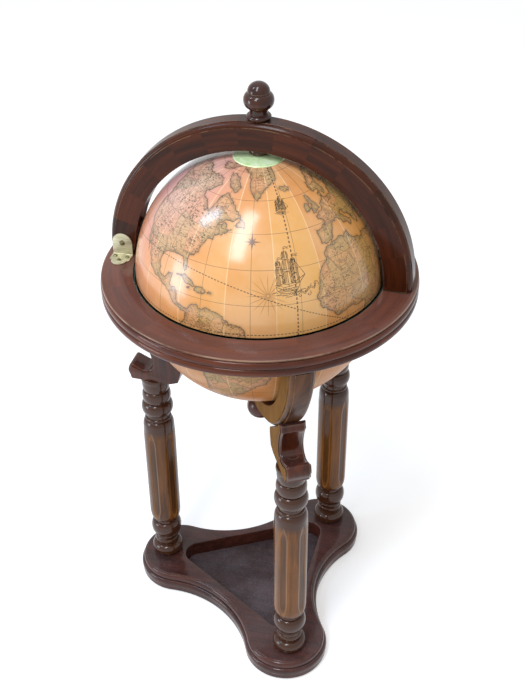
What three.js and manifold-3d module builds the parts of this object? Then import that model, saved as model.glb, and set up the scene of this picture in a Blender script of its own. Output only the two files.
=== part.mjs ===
// Floor globe bar: a globe held in a wooden horizon ring on three turned legs.
// The upper half of the globe is a lid. It hangs in a half-circle arch that is hinged to the ring
// and opens over a rack for bottles and glasses in the lower half.
// Millimetres, +Z up. The origin is on the floor under the middle of the globe.
// The arch stands along X: its hinge is at -X, its free foot at +X. One leg stands under the hinge.

import * as THREE from 'three';
import { mergeVertices } from 'three/addons/utils/BufferGeometryUtils.js';
import Module from 'manifold-3d';

const wasm = await Module();
wasm.setup();

// Clearances
const seatGap = 0.3;
const holeClearance = 0.35;
const cutOverrun = 3;
const weldTolerance = 0.001;

// Globe: the upper shell is the lid, the lower shell is the bowl
const globeRadius = 200;
const shellWall = 3;
const lidRise = 0.5;
const bowlEase = 2;
const bowlDrop = 20;
const bowlFlangeHeight = 5;
const bowlLedge = 1.5;

// Horizon ring
const ringGap = 4.5;
const ringFaceWidth = 51;
const ringThickness = 33;
const ringLipHeight = 3;
const ringQuirk = 2;
const ringBeadSwell = 4;
const ringBottomInset = 3;
const feltThickness = 1;
const feltInset = 1.5;

// Stand: base board, recess and glides
const legCount = 3;
const glideHeight = 3;
const glideRadius = 13;
const glideOut = 43;
const baseThickness = 38;
const standHeight = 699;
const lobeSetback = 24.5;
const lobeRadius = 66;
const waistWall = 13;
const baseRollOut = 4.6;
const baseRollHeight = 13;
const baseLipHeight = 2;
const baseLipOut = 1.6;
const baseUndercut = 1.2;
const recessLegGap = 9.2;
const recessCornerRadius = 26;
const panelThickness = 7;
const panelTongue = 4.5;
const panelRebate = 6;
const legScrewRecess = 4;
const legScrewGrip = 30;
const glideRound = 1;

// Legs
const legSetback = 59;
const legRadius = 29.3;
const fluteCount = 5;
const fluteDepth = 2;
const fluteSpan = 30;
const fluteFloorSpan = 17;
const fluteTipShare = 0.2;
const fluteTurn = -102;
const tenonRadius = 11;
const tenonLength = 22;

// Lower arms that carry the ring, and the hub where they meet
const armThickness = 41;
const armGap = 8;
const armLift = 2;
const armDepth = 43;
const armTaper = 10;
const armTipDrop = 22;
const hubPadRadius = 27;
const hubBoltRadius = 4;
const knobRadius = 24.5;
const knobHeight = 50;
const dowelRadius = 5;
const dowelLength = 36;
const dowelInset = 20;
const hubBoltGrip = 28;
const washerRadius = 12;

// Consoles between the legs and the arms
const consoleThickness = 43;
const consoleTopDrop = 2.6;
const consoleHeight = 88;
const consoleNoseOut = 43.5;
const consoleHeelIn = 56.5;
const consoleInset = 4.5;
const consoleMould = 8;
const consoleScrewInset = 20;
const consoleScrewLength = 68;

// Arch and its moulded edges
const archThickness = 42;
const archGap = 4.5;
const archDepth = 44.5;
const archShank = 8;
const mouldDepth = 8;
const mouldWidth = 10;
const mouldQuirk = 1.4;
const hingeFootFlat = 8;
const footPadHeight = 1.5;

// Hinge
const pivotHeight = 22.8;
const leafWidth = 34;
const leafThickness = 1.6;
const leafShoulder = 21;
const leafNotch = 2.5;
const leafEndRadius = 13;
const leafScrewSpread = 10.3;
const leafScrewInset = 10;
const hingeBoltRadius = 3;
const hingeHeadRadius = 5;
const hingeHeadHeight = 2.6;
const hingeNutHeight = 4;

// Pole fittings and the finial
const poleCapRadius = 40;
const poleCapThickness = 1.3;
const poleSpacerRadius = 16;
const poleStudRadius = 3;
const studGrip = 26;
const finialHeight = 57.5;
const finialRadius = 23.2;
const sideScrewElevation = 15;
const sideScrewGrip = 16;
const sideSpacerRadius = 9;

// Fasteners
const woodScrewRadius = 3.2;
const woodScrewHeadRadius = 7;
const woodScrewHeadHeight = 3;
const smallScrewRadius = 1.7;
const smallScrewHeadRadius = 3.6;
const smallScrewHeadHeight = 1.8;
const smallScrewLength = 15;
const washerThickness = 1.6;
const nutHeight = 6;
const nutWidthShare = 1.9;

// Bottle rack in the bowl
const rackLevelShare = 0.211;
const rackFloorShare = 0.633;
const rackBoardThickness = 9;
const rackFloorThickness = 8;
const bottleHoleRadius = 42;
const bottleCircleRadius = 106;
const glassHoleRadius = 28;
const glassCircleRadius = 119;
const glassAngle = 17.5;
const centreHoleRadius = 44;
const rackPostRadius = 6;
const rackPostCircleRadius = 68;

// How finely curved surfaces are faceted
const ringSegments = 40;
const shellSegments = 32;
const shellSteps = 6;
const turnedSegments = 16;
const smallSegments = 10;
const screwSegments = 6;
const archSteps = 24;
const armSteps = 8;
const fineSegments = 144;
const hexSides = 6;
const lobeSteps = 8;
const hollowSteps = 5;
const recessSteps = 5;
const quarterSteps = 2;
const beadSteps = 3;
const padSteps = 2;
const hingeFootSteps = 4;
const finialSteps = 5;
const leafSteps = 4;
const consoleFrontSteps = 13;

// Levels that follow from the sizes above
const baseBottom = glideHeight + seatGap;
const baseTop = baseBottom + baseThickness;
const ringTop = baseTop + standHeight;
const ringBottom = ringTop - ringThickness;
const ringBoreRadius = globeRadius + ringGap;
const ringOuterRadius = ringBoreRadius + ringFaceWidth;
const lidCentre = ringTop + lidRise;
const bowlRadius = globeRadius + bowlEase;
const bowlCentre = ringTop - bowlDrop;
const archCentre = ringTop + archShank;
const archInnerRadius = globeRadius + archGap;
const archOuterRadius = archInnerRadius + archDepth;
const pivotRadius = archInnerRadius + archDepth / 2;
const pivotLevel = ringTop + pivotHeight;
const armInnerRadius = bowlRadius + armGap;
const armInnerCentre = bowlCentre + armLift;
const armOuterRadius = armInnerRadius + armDepth;
const armOuterCentre = armInnerCentre + armTaper;
const dowelCircleRadius = armInnerRadius + dowelInset;
const legCircleRadius = ringOuterRadius - legSetback;
const lobeCentreRadius = legCircleRadius - lobeSetback;
const glideCircleRadius = lobeCentreRadius + glideOut;
const recessTip = legCircleRadius - legRadius - recessLegGap;
const recessInradius = (recessTip + recessCornerRadius) / 2;
const waistRadius = recessInradius + waistWall;
const consoleNoseRadius = legCircleRadius + consoleNoseOut;
const consoleHeelRadius = legCircleRadius - consoleHeelIn;
const consoleScrewRadius = consoleHeelRadius + consoleScrewInset;
const armLevelAtLeg = armOuterCentre - Math.sqrt(armOuterRadius ** 2 - legCircleRadius ** 2);
const consoleBottom = armLevelAtLeg - consoleTopDrop - consoleHeight;
const bowlInnerRadius = bowlRadius - shellWall;
const lidInnerRadius = globeRadius - shellWall;
const armBottom = armOuterCentre - armOuterRadius;
const consoleScrewHead = consoleBottom + 2 * woodScrewHeadHeight;
const leafFace = archThickness / 2 + seatGap + leafThickness;

// Flat facets come nearer to the middle than their corners; pieces inside a bore clear the facets.
const shellFacetShare = Math.cos(Math.PI / (4 * shellSteps)) * Math.cos(Math.PI / shellSegments);
const boreFitRadius = ringBoreRadius * Math.cos(Math.PI / ringSegments) - seatGap;
const archFitRadius = archInnerRadius * Math.cos(Math.PI / (2 * archSteps)) - seatGap;
// Both shells end at the pole in a small flat land, the seat for a washer.
const poleLandRadius = washerRadius + seatGap;

const legAngles = Array.from({ length: legCount }, (_, k) => Math.PI * (1 + (2 * k) / legCount));

const walnut = new THREE.MeshStandardMaterial({ color: '#4a2015', roughness: 0.3, metalness: 0 });
const walnutLight = new THREE.MeshStandardMaterial({ color: '#6b3a1d', roughness: 0.35, metalness: 0 });
const mapPaper = new THREE.MeshStandardMaterial({ color: '#dc9a62', roughness: 0.3, metalness: 0 });
const brass = new THREE.MeshStandardMaterial({ color: '#b9b27c', roughness: 0.35, metalness: 1 });
const steel = new THREE.MeshStandardMaterial({ color: '#9a9a98', roughness: 0.4, metalness: 1 });
const felt = new THREE.MeshStandardMaterial({ color: '#3d5a48', roughness: 0.95, metalness: 0 });
const rubber = new THREE.MeshStandardMaterial({ color: '#23211f', roughness: 0.8, metalness: 0 });
const plainWood = new THREE.MeshStandardMaterial({ color: '#54301f', roughness: 0.5, metalness: 0 });

const globeBar = new THREE.Group();

function add(name, geometry, material, turn = 0) {
  const mesh = new THREE.Mesh(geometry, material);
  mesh.name = name;
  mesh.rotation.z = turn;
  globeBar.add(mesh);
}

// Surface helpers

function signedVolume(position, index) {
  const a = new THREE.Vector3();
  const b = new THREE.Vector3();
  const c = new THREE.Vector3();
  let sum = 0;
  for (let i = 0; i < index.length; i += 3) {
    a.fromBufferAttribute(position, index[i]);
    b.fromBufferAttribute(position, index[i + 1]);
    c.fromBufferAttribute(position, index[i + 2]);
    sum += a.dot(b.cross(c));
  }
  return sum;
}

// Welds shared corners, drops empty triangles and turns the faces outward.
function closed(geometry) {
  const bare = geometry.clone();
  bare.deleteAttribute('normal');
  bare.deleteAttribute('uv');
  const welded = mergeVertices(bare, weldTolerance);
  const kept = [];
  const corners = welded.index.array;
  for (let i = 0; i < corners.length; i += 3) {
    const [a, b, c] = [corners[i], corners[i + 1], corners[i + 2]];
    if (a !== b && b !== c && c !== a) kept.push(a, b, c);
  }
  if (signedVolume(welded.attributes.position, kept) < 0) kept.reverse();
  welded.setIndex(kept);
  welded.computeVertexNormals();
  return welded;
}

function toSolid(geometry) {
  const body = closed(geometry);
  return new wasm.Manifold(new wasm.Mesh({
    numProp: 3,
    vertProperties: new Float32Array(body.attributes.position.array),
    triVerts: new Uint32Array(body.index.array),
  }));
}

function fromSolid(solid) {
  const { vertProperties, triVerts } = solid.getMesh();
  const geometry = new THREE.BufferGeometry();
  geometry.setAttribute('position', new THREE.BufferAttribute(new Float32Array(vertProperties), 3));
  geometry.setIndex(new THREE.BufferAttribute(new Uint32Array(triVerts), 1));
  geometry.computeVertexNormals();
  return geometry;
}

function cut(geometry, ...tools) {
  return fromSolid(tools.reduce((solid, tool) => solid.subtract(toSolid(tool)), toSolid(geometry)));
}

function join(geometry, ...others) {
  return fromSolid(others.reduce((solid, other) => solid.add(toSolid(other)), toSolid(geometry)));
}

function keepInside(geometry, limit) {
  return fromSolid(toSolid(geometry).intersect(toSolid(limit)));
}

// Turns a profile of (radius, height) points about +Z.
function revolve(points, segments) {
  const turned = new THREE.LatheGeometry(points, segments);
  return closed(turned.rotateX(Math.PI / 2));
}

// Rounds a flat outline up to a plate of the given thickness, standing on the level z.
function plate(shape, level, thickness, curveSegments) {
  const slab = new THREE.ExtrudeGeometry(shape, { depth: thickness, bevelEnabled: false, curveSegments });
  return closed(slab.translate(0, 0, level));
}

// A round bar along +Z from one level to another.
function bar(radius, bottom, top, x = 0, y = 0, segments = screwSegments) {
  const rod = new THREE.CylinderGeometry(radius, radius, top - bottom, segments);
  rod.rotateX(Math.PI / 2).translate(x, y, (top + bottom) / 2);
  return closed(rod);
}

// A round bar along Y about the point (x, z), reaching as far to both sides.
function crossBar(radius, reach, x, z, segments) {
  const rod = new THREE.CylinderGeometry(radius, radius, 2 * reach, segments);
  return closed(rod.translate(x, 0, z));
}

// A skin over rings of equal length, closed by a flat cap at both ends.
function skin(rings, flatten) {
  const count = rings[0].length;
  const positions = rings.flat().flatMap((p) => [p.x, p.y, p.z]);
  const index = [];
  for (let i = 0; i + 1 < rings.length; i += 1) {
    for (let k = 0; k < count; k += 1) {
      const next = (k + 1) % count;
      const [a, b] = [i * count + k, i * count + next];
      index.push(a, b, b + count, a, b + count, a + count);
    }
  }
  const cap = (ring, start, first) => {
    const outline = ring.map(flatten);
    const flip = THREE.ShapeUtils.isClockWise(outline) !== first;
    for (const [a, b, c] of THREE.ShapeUtils.triangulateShape(outline, [])) {
      index.push(start + a, start + (flip ? c : b), start + (flip ? b : c));
    }
  };
  cap(rings[0], 0, true);
  cap(rings[rings.length - 1], (rings.length - 1) * count, false);
  const geometry = new THREE.BufferGeometry();
  geometry.setAttribute('position', new THREE.Float32BufferAttribute(positions, 3));
  geometry.setIndex(index);
  return closed(geometry);
}

// A table of shares turned into lengths.
function scaled(shares, length) {
  return Object.fromEntries(Object.entries(shares).map(([name, share]) => [name, share * length]));
}

function arcPoints(centreX, centreY, radius, from, to, steps) {
  return Array.from({ length: steps + 1 }, (_, i) => {
    const angle = from + ((to - from) * i) / steps;
    return new THREE.Vector2(centreX + radius * Math.cos(angle), centreY + radius * Math.sin(angle));
  });
}

// Draws a turned profile downward, one turning after another.
class Turning {
  constructor(top, bore = 0) {
    this.level = top;
    this.points = [new THREE.Vector2(bore, top)];
    this.bore = bore;
  }

  to(radius, drop = 0) {
    this.level -= drop;
    this.points.push(new THREE.Vector2(radius, this.level));
    return this;
  }

  // A half-round swelling, or a hollow where the crest is less than the rim.
  roll(height, rimRadius, crestRadius, steps = beadSteps) {
    const top = this.level;
    for (let i = 0; i <= steps; i += 1) {
      const share = i / steps;
      const bulge = Math.sin(Math.PI * share);
      const drop = (height * (1 - Math.cos(Math.PI * share))) / 2;
      this.points.push(new THREE.Vector2(rimRadius + (crestRadius - rimRadius) * bulge, top - drop));
    }
    this.level = top - height;
    return this;
  }

  // A quarter round that starts level and ends upright.
  shoulder(height, fromRadius, toRadius, steps = 3) {
    const top = this.level;
    for (let i = 0; i <= steps; i += 1) {
      const angle = (Math.PI / 2) * (i / steps);
      const radius = fromRadius + (toRadius - fromRadius) * Math.sin(angle);
      this.points.push(new THREE.Vector2(radius, top - height * (1 - Math.cos(angle))));
    }
    this.level = top - height;
    return this;
  }

  // A quarter round that starts upright and ends level.
  tuck(height, fromRadius, toRadius, steps = 3) {
    const top = this.level;
    for (let i = 0; i <= steps; i += 1) {
      const angle = (Math.PI / 2) * (i / steps);
      const radius = fromRadius + (toRadius - fromRadius) * (1 - Math.cos(angle));
      this.points.push(new THREE.Vector2(radius, top - height * Math.sin(angle)));
    }
    this.level = top - height;
    return this;
  }

  end() {
    this.points.push(new THREE.Vector2(this.bore, this.level));
    if (this.bore > 0) this.points.push(this.points[0].clone());
    return this.points;
  }
}

// Base board

// The trefoil outline, grown by an offset: round lobes toward the legs, hollow sides between them.
function trefoil(offset) {
  const half = Math.PI / legCount;
  const reach = lobeRadius - waistRadius;
  const span = 2 * (reach + lobeCentreRadius * Math.cos(half));
  const hollowDistance = (lobeCentreRadius ** 2 - reach ** 2) / span;
  const hollowRadius = hollowDistance - waistRadius;
  const hollowX = hollowDistance * Math.cos(half);
  const hollowY = hollowDistance * Math.sin(half);
  const joint = Math.atan2(hollowY, hollowX - lobeCentreRadius);
  const lobe = arcPoints(lobeCentreRadius, 0, lobeRadius + offset, -joint, joint, lobeSteps);
  const start = joint + Math.PI;
  const middle = half + Math.PI;
  const hollow = arcPoints(hollowX, hollowY, hollowRadius - offset, start, 2 * middle - start, hollowSteps);
  const side = [...lobe, ...hollow.slice(1, -1)];
  return legAngles.flatMap((turn) => side.map((p) => p.clone().rotateAround(new THREE.Vector2(), turn)));
}

// The moulded edge: a small lip, then two convex rolls that step outward, then a plain foot.
function baseEdge() {
  const edge = [[0, 0], [baseLipOut, baseLipHeight]];
  for (let roll = 0; roll < 2; roll += 1) {
    const top = baseLipHeight + roll * baseRollHeight;
    const rim = baseLipOut + roll * baseRollOut;
    for (let i = 0; i <= quarterSteps; i += 1) {
      const angle = (Math.PI / 2) * (i / quarterSteps);
      edge.push([rim + baseRollOut * Math.sin(angle), top + (baseRollHeight / 2) * (1 - Math.cos(angle))]);
    }
    edge.push([rim + baseRollOut, top + baseRollHeight - baseUndercut]);
  }
  const foot = baseLipOut + 2 * baseRollOut - baseUndercut;
  edge.push([foot, baseLipHeight + 2 * baseRollHeight], [foot, baseThickness]);
  return edge;
}

function roundedTriangle(inradius, cornerRadius) {
  const cornerCentre = 2 * (inradius - cornerRadius);
  const half = Math.PI / legCount;
  const corner = arcPoints(cornerCentre, 0, cornerRadius, -half, half, recessSteps);
  const middle = new THREE.Vector2();
  const turned = (turn) => corner.map((p) => p.clone().rotateAround(middle, turn));
  return new THREE.Shape(legAngles.flatMap(turned));
}

function baseBoard() {
  const rings = baseEdge().map(([offset, drop]) => {
    return trefoil(offset).map((p) => new THREE.Vector3(p.x, p.y, baseTop - drop));
  });
  const board = skin(rings, (p) => new THREE.Vector2(p.x, p.y));
  const through = baseThickness + 2 * cutOverrun;
  const recess = plate(roundedTriangle(recessInradius, recessCornerRadius), baseBottom - cutOverrun, through);
  const rebateShape = roundedTriangle(recessInradius + panelRebate, recessCornerRadius + panelRebate);
  const rebateDepth = panelTongue + seatGap + cutOverrun;
  const rebate = plate(rebateShape, baseBottom - cutOverrun, rebateDepth);
  const counterTop = baseBottom + legScrewRecess + woodScrewHeadHeight + seatGap;
  const counterRadius = woodScrewHeadRadius + holeClearance;
  const counterbore = bar(counterRadius, baseBottom - cutOverrun, counterTop, legCircleRadius);
  const bore = bar(woodScrewRadius + holeClearance, baseBottom, baseTop + cutOverrun, legCircleRadius);
  return cut(board, recess, rebate, ...atEachLeg(counterbore), ...atEachLeg(bore));
}

// Copies of a piece drawn on +X, one turned toward each leg.
function atEachLeg(piece) {
  return legAngles.map((angle) => piece.clone().rotateZ(angle));
}

// The panel's thin edge lies in the rebate and its raised middle fills the opening above.
function basePanel() {
  const shape = (grow) => roundedTriangle(recessInradius + grow, recessCornerRadius + grow);
  const tongue = plate(shape(panelRebate - seatGap), baseBottom, panelTongue);
  return join(tongue, plate(shape(-seatGap), baseBottom, panelThickness));
}

function glide() {
  const steps = new Turning(baseBottom - seatGap).to(glideRadius);
  steps.to(glideRadius, glideHeight - glideRound).to(glideRadius - glideRound, glideRound);
  return revolve(steps.end(), smallSegments).translate(glideCircleRadius, 0, 0);
}

// Legs: heights as shares of the leg's length, radii as shares of its body radius
const legLength = consoleBottom - baseTop - 2 * seatGap;
const legHeightShares = {
  collar: 0.02, cove: 0.05, beadA: 0.057, beadB: 0.062, neck: 0.018, ring: 0.014,
  shoulder: 0.036, top: 0.04, bottom: 0.054, fillet: 0.02, beadC: 0.074,
  ringD: 0.014, coveD: 0.012, beadE: 0.025, coveE: 0.01, foot: 0.055,
};
const legRadiusShares = {
  collar: 0.86, collarCrest: 0.9, waist: 0.74, beadA: 0.89, beadB: 0.985, ring: 0.83,
  shoulder: 0.975, tail: 0.82, beadC: 1, ringD: 0.83, beadE: 0.81, foot: 1.03,
};

// The head, down to the round shoulder that the shaft hangs from.
function legHead(h, r) {
  const head = new Turning(consoleBottom - seatGap);
  head.roll(h.collar, r.collar, r.collarCrest, 2).tuck(h.cove, r.collar, r.waist, 2);
  head.roll(h.beadA, r.waist, r.beadA).roll(h.beadB, r.waist, r.beadB);
  return head.to(r.waist, h.neck).roll(h.ring, r.waist, r.ring, 2).shoulder(h.shoulder, r.waist, r.shoulder);
}

function legFoot(h, r, top) {
  const foot = new Turning(top).to(r.waist).to(r.waist, h.fillet).roll(h.beadC, r.waist, r.beadC);
  foot.roll(h.ringD, r.waist, r.ringD, 2).to(r.waist, h.coveD).roll(h.beadE, r.waist, r.beadE, 2);
  return foot.to(r.waist, h.coveE).roll(h.foot, r.waist, r.foot);
}

// One level of the shaft: a channel takes four points, and the land beside it two more.
function flutedRing(radius, level, share, bearing) {
  const pitch = 360 / fluteCount;
  const width = THREE.MathUtils.lerp(fluteTipShare, 1, share);
  const landThird = (pitch - fluteSpan) / 3;
  const places = [
    [(-fluteSpan * width) / 2, 0], [(-fluteFloorSpan * width) / 2, fluteDepth * share],
    [(fluteFloorSpan * width) / 2, fluteDepth * share], [(fluteSpan * width) / 2, 0],
    [fluteSpan / 2 + landThird, 0], [fluteSpan / 2 + 2 * landThird, 0],
  ];
  return Array.from({ length: fluteCount }, (_, k) => places.map(([turn, depth]) => {
    const angle = THREE.MathUtils.degToRad(fluteTurn + k * pitch + turn) - bearing;
    return new THREE.Vector3((radius - depth) * Math.cos(angle), (radius - depth) * Math.sin(angle), level);
  })).flat();
}

// The shaft is routed with channels that narrow to a point at both ends. They face the same way
// on every leg, so the leg's own bearing is taken off.
function flutedShaft(h, r, top, bottom, bearing) {
  const shaft = new Turning(top, r.shoulder).to(legRadius, h.top);
  shaft.to(legRadius, shaft.level - bottom - h.bottom).tuck(h.bottom, legRadius, r.tail, 2);
  const rings = shaft.points.map((p) => {
    const fromEnd = Math.min(top - p.y, p.y - bottom);
    return flutedRing(p.x, p.y, THREE.MathUtils.clamp(fromEnd / h.top, 0, 1), bearing);
  });
  return skin(rings, (p) => new THREE.Vector2(p.x, p.y));
}

function leg(bearing) {
  const h = scaled(legHeightShares, legLength);
  const r = scaled(legRadiusShares, legRadius);
  const head = legHead(h, r);
  const footTop = baseTop + seatGap + h.fillet + h.beadC + h.ringD + h.coveD + h.beadE + h.coveE + h.foot;
  const shaft = flutedShaft(h, r, head.level, footTop, bearing);
  const turned = [head, legFoot(h, r, footTop)].map((part) => revolve(part.end(), turnedSegments));
  const tenonTop = consoleBottom + tenonLength;
  const tenon = bar(tenonRadius, consoleBottom - cutOverrun, tenonTop, 0, 0, smallSegments);
  const pilotTop = baseTop + legScrewGrip + holeClearance;
  const pilot = bar(woodScrewRadius + holeClearance, baseTop - cutOverrun, pilotTop);
  return cut(join(shaft, ...turned, tenon), pilot).translate(legCircleRadius, 0, 0);
}

// A screw with a flat round head at the bottom and its tip at the top.
function risingScrew(headBottom, tip, radius, headRadius, headHeight, x) {
  const screw = new Turning(tip).to(radius / 2).to(radius, radius);
  screw.to(radius, tip - radius - headBottom - headHeight).to(headRadius).to(headRadius, headHeight);
  return revolve(screw.end(), screwSegments).translate(x, 0, 0);
}

// Consoles: the outline runs in (radius, height) with its curved front facing outward.
// Each pair gives a place across the console and a height above its flat bottom, as shares of
// the console's reach and of its height.
const consoleReachShares = {
  inner: 0, heel: 0.06, innerFoot: 0.2, noseUnder: 0.965, noseFront: 1, noseTop: 0.93,
  valleyOut: 0.8, valley: 0.68, valleyIn: 0.58, rise: 0.53, riseTop: 0.55, neck: 0.6,
  lip: 0.68, lipTop: 0.62,
};
const consoleHeightShares = {
  inner: 0.3, heel: 0.06, noseUnder: 0.03, noseFront: 0.17, noseTop: 0.34,
  valleyOut: 0.29, valley: 0.235, valleyIn: 0.27, rise: 0.38, riseTop: 0.58, neck: 0.75,
  lip: 0.88, lipTop: 0.96,
};

function consoleOutline() {
  const reach = consoleNoseRadius - consoleHeelRadius;
  const across = (share) => consoleHeelRadius + share * reach;
  const up = (share) => consoleBottom + share * consoleHeight;
  const s = consoleReachShares;
  const t = consoleHeightShares;
  const frontNames = ['noseUnder', 'noseFront', 'noseTop', 'valleyOut', 'valley', 'valleyIn', 'rise',
    'riseTop', 'neck', 'lip', 'lipTop'];
  const frontPoints = frontNames.map((name) => new THREE.Vector3(across(s[name]), up(t[name]), 1));
  const front = new THREE.CatmullRomCurve3(frontPoints, false, 'centripetal').getPoints(consoleFrontSteps);
  const heel = [
    new THREE.Vector3(across(s.lipTop) - consoleInset, up(1), 0),
    new THREE.Vector3(across(s.inner), up(1), 0),
    new THREE.Vector3(across(s.inner), up(t.inner), 0),
    new THREE.Vector3(across(s.heel), up(t.heel), 0),
    new THREE.Vector3(across(s.innerFoot), up(0), 0),
    new THREE.Vector3(across(s.noseUnder) - consoleInset, up(0), 0),
  ];
  return [...front, ...heel];
}

// The moulded side edges of the front step back by the inset; z marks the points that do.
function consoleBody() {
  const outline = consoleOutline();
  const inset = outline.map((p, k) => {
    const before = outline[(k + outline.length - 1) % outline.length];
    const after = outline[(k + 1) % outline.length];
    const normal = new THREE.Vector2(after.y - before.y, before.x - after.x).normalize();
    return new THREE.Vector2(p.x, p.y).addScaledVector(normal, -consoleInset * (p.z > 0 ? 1 : 0));
  });
  const half = consoleThickness / 2;
  const layers = [[-half, inset], [-half + mouldQuirk, inset], [-half + consoleMould, outline],
    [half - consoleMould, outline], [half - mouldQuirk, inset], [half, inset]];
  const rings = layers.map(([y, points]) => points.map((p) => new THREE.Vector3(p.x, y, p.y)));
  const body = skin(rings, (p) => new THREE.Vector2(p.x, p.z));
  const armSpace = crossBar(armOuterRadius + seatGap, consoleThickness, 0, armOuterCentre, fineSegments);
  const bore = bar(tenonRadius + seatGap, consoleBottom - cutOverrun,
    consoleBottom + tenonLength + seatGap, legCircleRadius, 0, smallSegments);
  const counterbore = bar(woodScrewHeadRadius + holeClearance, consoleBottom - cutOverrun,
    consoleScrewHead + woodScrewHeadHeight + seatGap, consoleScrewRadius);
  const passage = bar(woodScrewRadius + holeClearance, consoleBottom, ringTop, consoleScrewRadius);
  return cut(body, armSpace, bore, counterbore, passage);
}

// Arms

// A section with moulded outer corners: distances in from the outer face, and places across.
function mouldedSection(depth, thickness) {
  const half = thickness / 2;
  const edge = [[mouldDepth, half], [mouldDepth - mouldQuirk, half - mouldQuirk]];
  for (let i = 1; i <= quarterSteps; i += 1) {
    const angle = (Math.PI / 2) * (i / quarterSteps);
    edge.push([
      (mouldDepth - mouldQuirk) * (1 - Math.sin(angle)),
      half - mouldQuirk - (mouldWidth - mouldQuirk) * (1 - Math.cos(angle)),
    ]);
  }
  const mirrored = edge.map(([inward, across]) => [inward, -across]).reverse();
  return [[depth, half], ...edge, ...mirrored, [depth, -half]];
}

// A quarter-circle arm from the ring's underside down to the hub, where the three meet in a mitre.
function arm() {
  const start = Math.asin(armTipDrop / armOuterRadius);
  const end = -Math.PI / 2;
  const rings = Array.from({ length: armSteps + 1 }, (_, i) => {
    const angle = start + ((end - start) * i) / armSteps;
    const cos = Math.cos(angle);
    const sin = Math.sin(angle);
    const outer = new THREE.Vector3(armOuterRadius * cos, 0, armOuterCentre + armOuterRadius * sin);
    const inner = new THREE.Vector3(armInnerRadius * cos, 0, armInnerCentre + armInnerRadius * sin);
    const inward = inner.clone().sub(outer);
    const depth = inward.length();
    inward.normalize();
    return mouldedSection(depth, armThickness).map(([inset, across]) => {
      return outer.clone().addScaledVector(inward, inset).setY(across);
    });
  });
  const quarter = skin(rings, (p) => new THREE.Vector2(Math.hypot(p.x, p.z - armOuterCentre), p.y));
  const reach = 2 * armOuterRadius;
  const spread = reach * Math.tan(Math.PI / legCount);
  const mitre = new THREE.Shape([
    new THREE.Vector2(seatGap / Math.sqrt(legCount), 0),
    new THREE.Vector2(reach, spread),
    new THREE.Vector2(reach, -spread),
  ]);
  const wedge = plate(mitre, 0, ringBottom - seatGap);
  const dowelBore = bar(dowelRadius + holeClearance, ringBottom - dowelLength / 2 - holeClearance,
    ringTop, dowelCircleRadius, 0, turnedSegments / 2);
  const screwBore = bar(woodScrewRadius + holeClearance, 0,
    consoleScrewHead + consoleScrewLength + holeClearance, consoleScrewRadius);
  return cut(keepInside(quarter, wedge), hubBore(), dowelBore, screwBore);
}

function hubBore() {
  return bar(hubBoltRadius + holeClearance, 0, ringTop, 0, 0, turnedSegments / 2);
}

// Hub: a pad between bowl and arms, and a turned drop knob below, on one bolt

function hubPad() {
  const top = bowlRadius + seatGap;
  const bottom = armInnerRadius * Math.cos(Math.PI / (4 * armSteps)) - 2 * seatGap;
  const hole = hubBoltRadius + holeClearance;
  const face = (radius, centre) => Array.from({ length: padSteps + 1 }, (_, i) => {
    const r = hole + ((hubPadRadius - hole) * i) / padSteps;
    return new THREE.Vector2(r, centre - Math.sqrt(radius ** 2 - r ** 2));
  });
  const profile = [...face(top, bowlCentre), ...face(bottom, armInnerCentre).reverse()];
  return revolve([...profile, profile[0].clone()], turnedSegments);
}

const knobHeightShares = { plate: 0.08, neck: 0.12, ball: 0.68, button: 0.12 };
const knobRadiusShares = { plateRim: 0.76, plate: 0.84, neck: 0.5, button: 0.26, buttonCrest: 0.33 };

function dropKnob() {
  const h = scaled(knobHeightShares, knobHeight);
  const r = scaled(knobRadiusShares, knobRadius);
  const knob = new Turning(armBottom - seatGap).roll(h.plate, r.plateRim, r.plate, beadSteps);
  knob.to(r.neck, h.neck / 2).to(r.neck, h.neck / 2).roll(h.ball, r.neck, knobRadius, finialSteps);
  knob.roll(h.button, r.button, r.buttonCrest, beadSteps);
  const socket = bar(hubBoltRadius + holeClearance, armBottom - hubBoltGrip - holeClearance, ringTop);
  return cut(revolve(knob.end(), turnedSegments), socket);
}

const hubWasherLevel = bowlCentre - Math.sqrt(bowlInnerRadius ** 2 - poleLandRadius ** 2) + seatGap;
const hubNutLevel = hubWasherLevel + washerThickness + seatGap;

function hubBolt() {
  return bar(hubBoltRadius, armBottom - hubBoltGrip, hubNutLevel + nutHeight + hubBoltRadius);
}

function washer(level, boltRadius) {
  const ring = new Turning(level + washerThickness, boltRadius + holeClearance);
  ring.to(washerRadius).to(washerRadius, washerThickness);
  return revolve(ring.end(), smallSegments);
}

function nut(level, boltRadius, height) {
  const block = bar(boltRadius * nutWidthShare, level, level + height, 0, 0, hexSides);
  return cut(block, bar(boltRadius + holeClearance, level - cutOverrun, level + height + cutOverrun));
}

// Ring

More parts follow.
